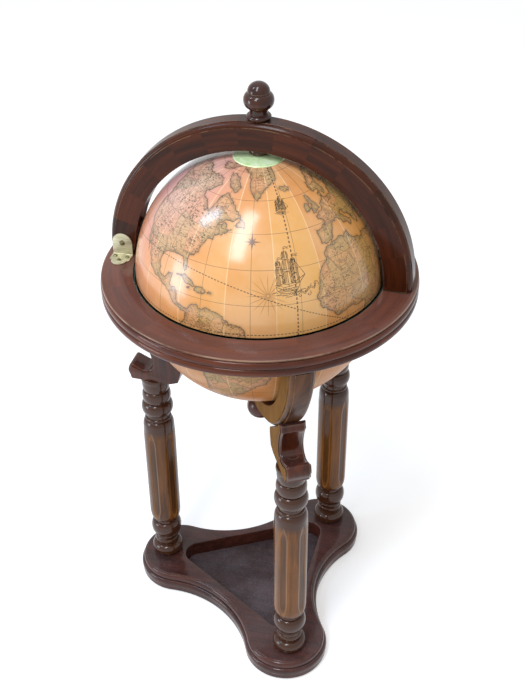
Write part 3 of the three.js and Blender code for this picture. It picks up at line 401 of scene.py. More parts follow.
def polished(name, grain, dark, pale, rub=0.6, dust=0.12, shine=0.36, rough=0.3, clear=0.11, over=None):
    """A stained and lacquered wood; grain turns the piece's coordinates into ones along the fibres."""
    finish, tree, where = new_finish(name)
    run, lengths = grain(where)
    figure = use_group(tree, wood_figure, Along=run, Dark=stain(dark), Pale=stain(pale), Pores=0.4,
                       Tone=lengths)
    colour, matt = over(where, figure["Color"]) if over else (figure["Color"], 0.0)
    worn = use_group(tree, rubbed_edge, Where=where, Amount=rub)
    film = use_group(tree, settled_dust, Where=where, Amount=dust)
    colour = blend(film, blend(worn, colour, stain("#a07a58")), stain("#857f86"))
    cloudy = speckle(where, 22, 4.0)
    surface(tree, {
        "Base Color": colour, "Roughness": cloudy * 0.16 + (rough - 0.08) + film * 0.3 + matt * 0.45,
        "Coat Weight": shine - most(film, matt) * shine, "Coat Roughness": clear,
        "Specular IOR Level": 0.1}, 0.12, 0.0004, figure["Height"])
    return finish


def grain_across(where):
    """Boards whose grain runs along X."""
    return where, 0.0


finish_with(polished("base_stain", grain_across, "#301610", "#52291f", dust=0.2, rub=0.5, shine=0.5,
                     clear=0.08), base_board)
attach(base_board, "stand")
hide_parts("base_board")


# Tray panel
# A thin stained panel let into the rebate under the board, so that the tray has a floor. It
# was left matt, and dust has gathered on it.
finish_with(polished("tray_stain", grain_across, "#2b1b19", "#452f2e", dust=0.4, rub=0.0, shine=0.12,
                     rough=0.5), "base_panel")


# Glides
# Three round pads of dark pressed felt, glued under the lobes. They keep the board off the
# floor and let the whole bar slide.
def pressed_felt(name, dark, pale):
    """Wool felt: matted fibres over a soft, uneven colour, with a dull sheen."""
    finish, tree, where = new_finish(name)
    fibres = speckle(where, 900, 4.0, 0.7, 1.5)
    share = fade(fibres * 0.6 + speckle(where, 60, 4.0) * 0.4, 0.32, 0.68)
    surface(tree, {
        "Base Color": blend(share, stain(dark), stain(pale)), "Roughness": 0.95,
        "Specular IOR Level": 0.1, "Sheen Weight": 0.25, "Sheen Roughness": 0.5}, 0.5, 0.0005, fibres)
    return finish


finish_with(pressed_felt("glide_felt", "#2c2a26", "#4c4840"), "glide_1", "glide_2", "glide_3")


# Legs
# Three turned beech legs, alike, with a dark stain on the turnings and a rubbed, lighter shaft.
# Each shaft is routed with five round channels that end in a point; a tenon holds the head.
leg_top = 482.04
leg_foot = 41.6
leg_length = leg_top - leg_foot
leg_radius = 29.3
tenon_radius = 11
tenon_height = 22
tenon_ease = 0.8
leg_heights = dict(
    collar=0.02, cove=0.05, bead_a=0.057, bead_b=0.062, neck=0.018, ring=0.014, shoulder=0.036,
    shaft_top=0.04, shaft_end=0.054, fillet=0.02, bead_c=0.074, ring_d=0.014, cove_d=0.012,
    bead_e=0.025, cove_e=0.01, foot=0.055)
leg_radii = dict(
    collar=0.86, collar_crest=0.9, waist=0.74, bead_a=0.89, bead_b=0.985, ring=0.83,
    shoulder=0.975, tail=0.82, bead_c=1, ring_d=0.83, bead_e=0.81, foot=1.03)


class Turning:
    """A profile for the lathe, drawn downward from its top; radii and heights in mm."""

    def __init__(self, top, bore=0):
        self.level = top
        self.points = [(bore, top)]
        self.bore = bore

    def to(self, radius, drop=0):
        self.level -= drop
        self.points.append((radius, self.level))
        return self

    def roll(self, height, rim, crest, steps=14):
        """A half-round swelling, or a hollow where the crest is less than the rim."""
        for i in range(1, steps + 1):
            turn = math.pi * i / steps
            drop = height * (1 - math.cos(turn)) / 2
            self.points.append((rim + (crest - rim) * math.sin(turn), self.level - drop))
        self.level -= height
        return self

    def shoulder(self, height, start, end, steps=10):
        """A quarter round that starts level and ends upright."""
        for i in range(1, steps + 1):
            turn = math.pi / 2 * i / steps
            self.points.append((start + (end - start) * math.sin(turn),
                                self.level - height * (1 - math.cos(turn))))
        self.level -= height
        return self

    def tuck(self, height, start, end, steps=10):
        """A quarter round that starts upright and ends level."""
        for i in range(1, steps + 1):
            turn = math.pi / 2 * i / steps
            self.points.append((start + (end - start) * (1 - math.cos(turn)),
                                self.level - height * math.sin(turn)))
        self.level -= height
        return self

    def down(self, radius, drop, steps):
        """A slow taper in many short steps."""
        start = self.points[-1][0]
        for i in range(1, steps + 1):
            self.to(start + (radius - start) * i / steps, drop / steps)
        return self

    def end(self):
        self.points.append((self.bore, self.level))
        return self.points


def lathe(name, profile, x=0, y=0, steps=96):
    """Spins a profile round an upright axis through x, y."""
    piece = draw_line(name, [(x + radius, y, level) for radius, level in profile])
    bpy.ops.mesh.select_all(action="SELECT")
    spin_on(steps, 360, (x, y, 0))
    return close_up(piece)


h = {part: share * leg_length for part, share in leg_heights.items()}
r = {part: share * leg_radius for part, share in leg_radii.items()}
leg = Turning(leg_top + tenon_height).to(tenon_radius - 0.6).to(tenon_radius, tenon_ease)
leg.to(tenon_radius, tenon_height - tenon_ease).to(r["collar"])
leg.roll(h["collar"], r["collar"], r["collar_crest"], 8).tuck(h["cove"], r["collar"], r["waist"])
leg.roll(h["bead_a"], r["waist"], r["bead_a"]).roll(h["bead_b"], r["waist"], r["bead_b"])
leg.to(r["waist"], h["neck"]).roll(h["ring"], r["waist"], r["ring"], 8)
leg.shoulder(h["shoulder"], r["waist"], r["shoulder"])
shaft_top = leg.level
below_shaft = sum(h[part] for part in (
    "fillet", "bead_c", "ring_d", "cove_d", "bead_e", "cove_e", "foot"))
shaft_foot = leg_foot + below_shaft
leg.down(leg_radius, h["shaft_top"], 8)
leg.down(leg_radius, leg.level - shaft_foot - h["shaft_end"], 30)
leg.tuck(h["shaft_end"], leg_radius, r["tail"]).to(r["waist"], 0.4).to(r["waist"], h["fillet"] - 0.4)
leg.roll(h["bead_c"], r["waist"], r["bead_c"]).roll(h["ring_d"], r["waist"], r["ring_d"], 8)
leg.to(r["waist"], h["cove_d"]).roll(h["bead_e"], r["waist"], r["bead_e"], 10)
leg.to(r["waist"], h["cove_e"]).roll(h["foot"], r["waist"], r["foot"])

channel_turns = [math.radians(-102 + 72 * k) for k in range(5)]
channel_half = math.radians(15)
channel_depth = 1.9
channel_point = 26
channel_top = shaft_top - 6
channel_foot = shaft_foot + 6


def channel_depth_at(point, x, y):
    """How deep the routed channels go at a point of the shaft, as a share of their full depth."""
    if not channel_foot < point.z < channel_top:
        return 0
    bearing = math.atan2(point.y - y, point.x - x)
    off = min(abs(math.remainder(bearing - turn, 2 * math.pi)) for turn in channel_turns)
    from_end = min(channel_top - point.z, point.z - channel_foot)
    half = channel_half * min(1, from_end / channel_point) ** 0.6
    if off >= half:
        return 0
    return (1 - (off / half) ** 4) * min(1, half / channel_half)


first_leg = toward(leg_out, leg_turns[0])
leg_1 = lathe("leg_turned_1", leg.end(), first_leg[0], first_leg[1], 180)
channels = leg_1.vertex_groups.new(name="channels")
depths = [channel_depth_at(vertex.co / mm, first_leg[0], first_leg[1])
          for vertex in leg_1.data.vertices]
for index, depth in enumerate(depths):
    if depth > 0:
        channels.add([index], depth, "REPLACE")
leg_1.data.attributes.new("cut", "FLOAT", "POINT")
leg_1.data.attributes["cut"].data.foreach_set("value", depths)
work_on(leg_1)
routed = leg_1.modifiers.new("channels", "DISPLACE")
routed.vertex_group = "channels"
routed.strength = -channel_depth * mm
routed.mid_level = 0
bpy.ops.object.modifier_apply(modifier="channels")
shade_smooth(24)


def copy_of(piece, name):
    """A copy with its own mesh."""
    work_on(piece)
    bpy.ops.object.duplicate(linked=False)
    bpy.context.object.name = name
    return bpy.context.object


legs = [leg_1]
for number in (2, 3):
    shift = Vector(toward(leg_out, leg_turns[number - 1])) - Vector(first_leg)
    legs.append(copy_of(leg_1, f"leg_turned_{number}"))
    bpy.ops.transform.translate(value=shift * mm)
    bpy.ops.object.transform_apply(location=True, rotation=False, scale=False)


def grain_upright(where):
    """Turned stock whose grain runs up."""
    x, y, z = split(where)
    return joined(z, x, y), 0.0


def dark_ends_channel_shade(where, colour):
    """The lighter shaft between the dark turnings; the routed channels are darkened with painted shade,
    and their lips lightened by rubbed wear and a painted highlight.
    """
    level = split(where)[2]
    above = fade(level, (shaft_top - 24) * mm, (shaft_top - 2) * mm)
    below = fade(level, (shaft_foot + 14) * mm, (shaft_foot + 1) * mm)
    cloud = fade(speckle(where, (26, 26, 7), 4.0, 0.6), 0.3, 0.7)
    ends = most(above, below, cloud * 0.22)
    depth = place(where.tree, "ShaderNodeAttribute", attribute_name="cut")["Fac"]
    lips = fade(depth, 0.0, 0.3) * fade(depth, 0.9, 0.4)
    # lighter channel lips: rubbed wear and painted highlight
    colour = blend(lips * 0.32, colour, stain("#b07c44"))
    # painted shade in the routed channels
    colour = blend(fade(depth, 0.2, 1.0) * 0.5, colour, stain("#301a0a"))
    return blend(ends, colour, stain("#40200d")), (1 - ends) * 0.32


leg_stain = polished("leg_stain", grain_upright, "#402105", "#855019", over=dark_ends_channel_shade, dust=0.08,
                     rough=0.27, rub=0.5, shine=0.62, clear=0.06)
for number, piece in enumerate(legs, 1):
    finish_with(leg_stain, piece)
    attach(piece, "stand")
    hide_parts(f"leg_{number}")


# Leg screws
# Zinc-plated steel screws with wide round heads. They are sunk in the underside of the board
# and driven up into the legs.
def bright_metal(name, dark, pale, rough, brushed=(900, 900, 60), tarnish="#5b5140", stained=0.3,
                 polish=1.0):
    """Metal with fine brush marks, a varying polish and a little tarnish."""
    finish, tree, where = new_finish(name)
    marks = speckle(where, brushed, 3.0, 0.6)
    spots = fade(speckle(where, 70, 4.0, 0.6), 0.5, 0.75) * stained
    colour = blend(fade(marks, 0.3, 0.7), stain(dark), stain(pale))
    surface(tree, {
        "Base Color": blend(spots, colour, stain(tarnish)), "Metallic": polish,
        "Roughness": marks * 0.14 + (rough - 0.07) + spots * 0.35}, 0.12, 0.0001, marks)
    return finish


zinc = bright_metal("bright_zinc", "#8f9294", "#b8babb", 0.32)
finish_with(zinc, "leg_screw_1", "leg_screw_2", "leg_screw_3")


# Consoles
# Three scrolled brackets, band-sawn from thick stock, each on the head of its leg. A raised
# band runs down the front between two thin lips; one screw goes up into the arm behind it.
console_foot = 482.34
console_height = 88
console_heel = 140
console_nose = 240
console_thickness = 43
band_width = 38.6
lip_inset = 4
arm_outer = 253
arm_outer_centre = 732.3
fit_gap = 0.3
console_front = [
    (0.965, 0.03), (1, 0.17), (0.93, 0.34), (0.8, 0.29), (0.68, 0.235), (0.58, 0.27),
    (0.53, 0.38), (0.55, 0.58), (0.6, 0.75), (0.65, 0.87), (0.62, 0.96)]


def flowing(points, steps=10):
    """A smooth line through the points (Catmull-Rom, by the lengths of its spans)."""
    places = [Vector(point) for point in points]
    ends = [2 * places[0] - places[1], *places, 2 * places[-1] - places[-2]]
    line = []
    for a, b, c, d in zip(ends, ends[1:], ends[2:], ends[3:]):
        at = [0]
        for p, q in ((a, b), (b, c), (c, d)):
            at.append(at[-1] + (q - p).length ** 0.5)
        for i in range(steps):
            t = at[1] + (at[2] - at[1]) * i / steps
            low = [p + (q - p) * ((t - s) / (e - s)) for p, q, s, e in
                   ((a, b, at[0], at[1]), (b, c, at[1], at[2]), (c, d, at[2], at[3]))]
            mid = [low[0] + (low[1] - low[0]) * ((t - at[0]) / (at[2] - at[0])),
                   low[1] + (low[2] - low[1]) * ((t - at[1]) / (at[3] - at[1]))]
            line.append(tuple(mid[0] + (mid[1] - mid[0]) * ((t - at[1]) / (at[2] - at[1]))))
    return line + [tuple(places[-1])]


def console_point(share):
    return (console_heel + share[0] * (console_nose - console_heel),
            console_foot + share[1] * console_height)


def untangled(line):
    """Where a line set back into a tight corner crosses itself, it is drawn up to the crossing."""
    for a in range(len(line) - 3):
        for b in range(min(a + 16, len(line) - 2), a + 1, -1):
            met = geometry.intersect_line_line_2d(line[a], line[a + 1], line[b], line[b + 1])
            if met:
                line[a + 1:b + 1] = [tuple(met)] * (b - a)
    return line


def console_outline(set_back):
    """The side of the bracket; its scrolled front is set back, square to itself, by so many mm."""
    line = flowing([console_point(share) for share in console_front], 8)
    front = []
    for before, here, after in zip(line[:1] + line, line, line[1:] + line[-1:]):
        run = (Vector(after) - Vector(before)).normalized()
        front.append((here[0] - run.y * set_back, max(here[1] + run.x * set_back, console_foot + 0.4)))
    front = untangled(front)
    heel = [console_point(share) for share in ((0, 1), (0, 0.3), (0.06, 0.06), (0.2, 0))]
    top = (front[-1][0], console_foot + console_height)
    return [(front[0][0], console_foot), *front, top, *heel]


half_band = band_width / 2
half_console = console_thickness / 2
across_console = [(half_console, lip_inset + 0.8), (half_console - 0.25, lip_inset + 0.25),
                  (half_console - 0.7, lip_inset), (half_band, lip_inset)]
across_console += [(half_band - lip_inset * (1 - x), lip_inset * (1 - y))
                   for x, y in arc((0, 0), 1, 15, 90, 5)]
across_console = [(-y, back) for y, back in across_console] + across_console[::-1]
outlines = [console_outline(back) for y, back in across_console]
bpy.ops.object.select_all(action="DESELECT")
bpy.ops.mesh.primitive_grid_add(x_subdivisions=len(outlines[0]), y_subdivisions=len(outlines) - 1,
                                size=mm)
console = bpy.context.object
console.name = "console_scrolled_1"
points = [(x * mm, y * mm, level * mm) for (y, back), outline in zip(across_console, outlines)
          for x, level in outline + outline[:1]]
console.data.vertices.foreach_set("co", np.array(points).ravel())
start_edit(console, "VERT", "SELECT")
bpy.ops.mesh.remove_doubles(threshold=weld)
bpy.ops.mesh.fill_holes(sides=0)
close_up(console)


def cross_cylinder(radius, x, level, width):
    """A round cutter that lies across the piece."""
    bpy.ops.object.select_all(action="DESELECT")
    bpy.ops.mesh.primitive_cylinder_add(
        vertices=360, radius=radius * mm, depth=width * mm, location=(x * mm, 0, level * mm),
        rotation=(math.pi / 2, 0, 0))
    bpy.ops.object.transform_apply(location=True, rotation=True, scale=False)
    return bpy.context.object


def turned(piece, turn):
    """Turns a piece about the middle of the stand."""
    work_on(piece)
    piece.rotation_euler.z = turn
    bpy.ops.object.transform_apply(location=False, rotation=True, scale=False)
    return piece


def one_to_a_leg(piece, name):
    """A piece made along X, turned to the first leg, and a copy for each of the others."""
    others = [turned(copy_of(piece, f"{name}_{number}"), leg_turns[number - 1]) for number in (2, 3)]
    return [turned(piece, leg_turns[0]), *others]


combine(console, cross_cylinder(arm_outer + fit_gap, 0, arm_outer_centre, 60))
work_on(console)
shade_smooth()
consoles = one_to_a_leg(console, "console_scrolled")
front_left = -Vector(toward(1, leg_turns[1] + math.pi / 2))


def painted_lit_side(where, colour):
    """Paints light on the front bracket and arm: faces turned to the front left get a patchy tan, a
    painted lit side, and lose their gloss.
    """
    faces = place(where.tree, "ShaderNodeNewGeometry")["True Normal"]
    side = fade(dotted(faces, front_left), 0.9, 0.99)
    cloud = fade(speckle(where, (35, 35, 12), 4.0, 0.6), 0.3, 0.75)
    lit_tan = blend(cloud, stain("#8a6230"), stain("#6b4820"))
    return blend(side * 0.85, colour, lit_tan), side


# The front bracket gets its own copy of the stain, carrying the painted lit side.
console_stain, front_console_stain = (
    polished(name, grain_upright, "#2c120a", "#582814", shine=0.5, clear=0.08, over=side)
    for name, side in (("console_stain", None), ("front_console_stain", painted_lit_side)))
for number, piece in enumerate(consoles, 1):
    finish_with(front_console_stain if number == 2 else console_stain, piece)
    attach(piece, "stand")
    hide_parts(f"console_{number}")
    finish_with(zinc, f"console_screw_{number}")


# Lower arms
# Three quarter-circle arms, each glued up from short finger-jointed lengths and moulded on its
# two outer corners. They are dowelled under the ring and meet in a mitre over the hub.
arm_inner = 210
arm_taper = 10
arm_thickness = 41
arm_depth = arm_outer - arm_inner
arm_ends_under = 707


def moulded_section(depth, thickness, lip=1.2, round_over=6.8):
    """Inward and across places of a bar's section, with a lipped round on both outer corners."""
    half = thickness / 2
    side = lip + round_over
    corner = [(depth, half - 0.6), (depth - 0.6, half), (side, half), (side, half - lip)]
    corner += [(side - round_over * x, half - lip - round_over * (1 - y))
               for y, x in arc((0, 0), 1, 9, 81, 8)]
    corner += [(lip, half - side), (0.3, half - side), (0, half - side - 0.3)]
    return corner + [(inward, -across) for inward, across in reversed(corner)]


arm = draw_line("arm_curved_1", [
    (arm_outer - inward, across, arm_outer_centre)
    for inward, across in moulded_section(arm_depth, arm_thickness)])
bpy.ops.mesh.select_all(action="SELECT")
bpy.ops.mesh.edge_face_add()
spin_on(96, 96, (0, 0, arm_outer_centre), (0, 1, 0))
close_up(arm)


def saw_off(piece, point, way):
    """Cuts square through the piece and drops what lies on the far side."""
    start_edit(piece, "VERT", "SELECT")
    bpy.ops.mesh.bisect(plane_co=Vector(point) * mm, plane_no=way, use_fill=True, clear_outer=True,
                        threshold=0.001 * mm)
    bpy.ops.object.mode_set(mode="OBJECT")


pick(arm, "VERT", lambda p: math.hypot(p.x, p.z - arm_outer_centre) < arm_inner + 1)
bpy.ops.transform.translate(value=(0, 0, -arm_taper * mm))
bpy.ops.object.mode_set(mode="OBJECT")
saw_off(arm, (0, 0, arm_ends_under), (0, 0, 1))
mitre_gap = fit_gap / math.sqrt(3)
for way in (1, -1):
    saw_off(arm, (mitre_gap, 0, 0), (-math.sin(half_side), way * math.cos(half_side), 0))
shade_smooth()
arms = one_to_a_leg(arm, "arm_curved")


def far_from(first, second):
    """The length of the long side over two short ones."""
    return (first * first + second * second).reckon("SQRT")


def chance(number):
    """A number by lot, the same whenever it is asked for the same number."""
    return place(number.tree, "ShaderNodeTexWhiteNoise", {"W": number}, noise_dimensions="1D")


def glued_lengths(lie, run_radius, count, level=0):
    """The grain of a round glued up from short straight lengths, each a little off in tone."""
    def grain(where):
        across, up, third = x, y, z = split(where)
        if lie != "flat":
            up, third = z - level * mm, y
        if lie == "arm":
            across = far_from(x, y)
        angle = up.reckon("ARCTAN2", across)
        length = (angle * (count / (2 * math.pi))).reckon("FLOOR")
        tone = chance(length)
        run = angle * (run_radius * mm) + length * 0.37
        return joined(run, far_from(across, up), third), (tone - 0.5) * 0.13
    return grain


arm_grain = glued_lengths("arm", 230, 16, arm_outer_centre)
arm_stain = polished("arm_stain", arm_grain, "#3a1d0c", "#6a4222", dust=0.1)
# The front arm's copy of the stain carries the painted lit side.
front_arm_stain = polished("front_arm_stain", arm_grain, "#3a1d0c", "#6a4222", dust=0.05, shine=0.2,
                           rough=0.4, over=painted_lit_side)
dowel_beech = polished("dowel_beech", grain_upright, "#a07a4c", "#c9a575", dust=0.0, rub=0.0, shine=0.0,
                       rough=0.6)
for number, piece in enumerate(arms, 1):
    finish_with(front_arm_stain if number == 2 else arm_stain, piece)
    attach(piece, "stand")
    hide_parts(f"lower_arm_{number}")
    finish_with(dowel_beech, f"arm_dowel_{number}")


# Hub
# The three arms are drawn together by one bolt, between a rubber pad under the bowl and a
# turned knob of the same stained beech below.
arm_foot = 479.3
knob_height = 50
knob_radius = 24.5
kh = {part: share * knob_height for part, share in
      dict(plate=0.08, neck=0.12, ball=0.68, button=0.12).items()}
kr = {part: share * knob_radius for part, share in
      dict(plate_rim=0.76, plate=0.84, neck=0.5, button=0.26, crest=0.33).items()}
knob = Turning(arm_foot - fit_gap).to(kr["plate_rim"])
knob.roll(kh["plate"], kr["plate_rim"], kr["plate"], 8).to(kr["neck"]).to(kr["neck"], kh["neck"])
knob.roll(kh["ball"], kr["neck"], knob_radius, 32).to(kr["button"])
knob.roll(kh["button"] * 0.7, kr["button"], kr["crest"], 8)
knob.shoulder(kh["button"] * 0.3, kr["button"], 0, 6)
drop_knob = lathe("knob_turned", knob.end())
finish_with(polished("knob_stain", grain_upright, "#2d120a", "#572612", shine=0.5, clear=0.07),
            drop_knob)
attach(drop_knob, "stand")
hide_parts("drop_knob")
rubber, tree, where = new_finish("pad_rubber")
bloom = fade(speckle(where, 90, 4.0), 0.4, 0.75)
mould_grain = speckle(where, 1600, 2.0)
surface(tree, {
    "Base Color": blend(bloom * 0.35, stain("#1f1e1d"), stain("#4a4844")),
    "Roughness": bloom * 0.15 + 0.62, "Specular IOR Level": 0.35}, 0.2, 0.0002, mould_grain)
finish_with(rubber, "hub_pad")
finish_with(zinc, "hub_bolt", "hub_washer", "hub_nut")


# Horizon ring
# A flat ring glued up from finger-jointed segments and turned on its edge: a lip, a quirk and
# two beads. Its bore holds the flange of the bowl and a lining of dark green felt.
ring_top = 740.3
ring_foot = 707.3
ring_ledge = 715
ring_bore = 204.5
ring_ledge_bore = 202.7
ring_outer = 255.5
quirk = ring_outer - 2
bead_height = 12.5
bead_crest = ring_outer + 1.4
ring = Turning(ring_top, ring_bore).to(ring_outer - 1.2).to(ring_outer - 0.35, 0.35)
ring.to(ring_outer, 0.85).to(ring_outer, 1.1).to(ring_outer - 0.7, 0.7).to(quirk, 0.5).to(quirk, 1.5)
ring.roll(bead_height, quirk, bead_crest, 18).roll(bead_height, quirk, bead_crest, 18)
ring.to(ring_outer - 4, 0.8).to(ring_outer - 5, 2.2)
horizon_ring = lathe("ring_turned", [
    *ring.points, (ring_ledge_bore, ring_foot), (ring_ledge_bore, ring_ledge), (ring_bore, ring_ledge),
    (ring_bore, ring_top)], steps=300)


def painted_sheen_ring_top(where, colour):
    """Paints light on the ring: a pale patchy line along the top's outer edge is a painted highlight,
    and the lighter flat top is a painted sheen.
    """
    x, y, level = split(where)
    near_top = fade(level, (ring_top - 2.6) * mm, (ring_top - 0.8) * mm)
    rim = fade(far_from(x, y), (ring_outer - 2.2) * mm, (ring_outer - 0.9) * mm)
    patches = fade(speckle(where, 14, 4.0, 0.6), 0.3, 0.6)
    # painted highlight: a pale patchy line along the top's outer edge
    colour = blend(near_top * rim * (patches * 0.75), colour, stain("#a98a72"))
    # painted sheen: the whole flat top is lightened
    top_sheen = fade(level, (ring_top - 0.3) * mm, (ring_top - 0.1) * mm)
    return blend(top_sheen * 0.35, colour, stain("#7a4c3c")), 0.0


finish_with(polished("ring_stain", glued_lengths("flat", 230, 12), "#3a1508", "#6c331a", dust=0.12,
                     shine=0.34, clear=0.09, over=painted_sheen_ring_top), horizon_ring)
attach(horizon_ring, "stand")
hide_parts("horizon_ring")
green_felt = pressed_felt("green_felt", "#1f3128", "#3c5848")
finish_with(green_felt, "ring_felt")


# Lower bowl
# The lower half of the globe, a thin moulded shell with the printed paper pasted on in gores;
# its flange rests on the ring's ledge.
bowl_centre = 720.3
bowl_radius = 202
bowl_flange = 5
land_radius = 12.3
flange_radius = 203.57
shell_wall = 3
stud_bore = 3.5
globe_radius = 200
map_turn = 31
gore_count = 16
parallel_count = 12
hatch_pitch = 1.7
coast_step = 1.3
coast_reach = 30.0
map_jump = 60
map_foot = -89
under_flange = math.degrees(math.asin(bowl_flange / bowl_radius))
beside_land = math.degrees(math.acos(land_radius / bowl_radius))
bowl_outside = arc((0, bowl_centre), bowl_radius, -under_flange, -beside_land, 150)
bowl_inside = arc((0, bowl_centre), bowl_radius - shell_wall, -beside_land, 0, 64)
bowl_profile = [(flange_radius, bowl_centre), (flange_radius, bowl_centre - bowl_flange), *bowl_outside,
                (stud_bore, bowl_outside[-1][1]), (stud_bore, bowl_inside[0][1]), *bowl_inside,
                (flange_radius, bowl_centre)]
lower_bowl = lathe("bowl_papered", bowl_profile, steps=300)


def on_globe(lon, lat):
    """The way from the globe's middle to a place of the map; the map is turned on it."""
    lon, lat = math.radians(lon - map_turn), math.radians(lat)
    return Vector((math.cos(lat) * math.cos(lon), math.cos(lat) * math.sin(lon), math.sin(lat)))


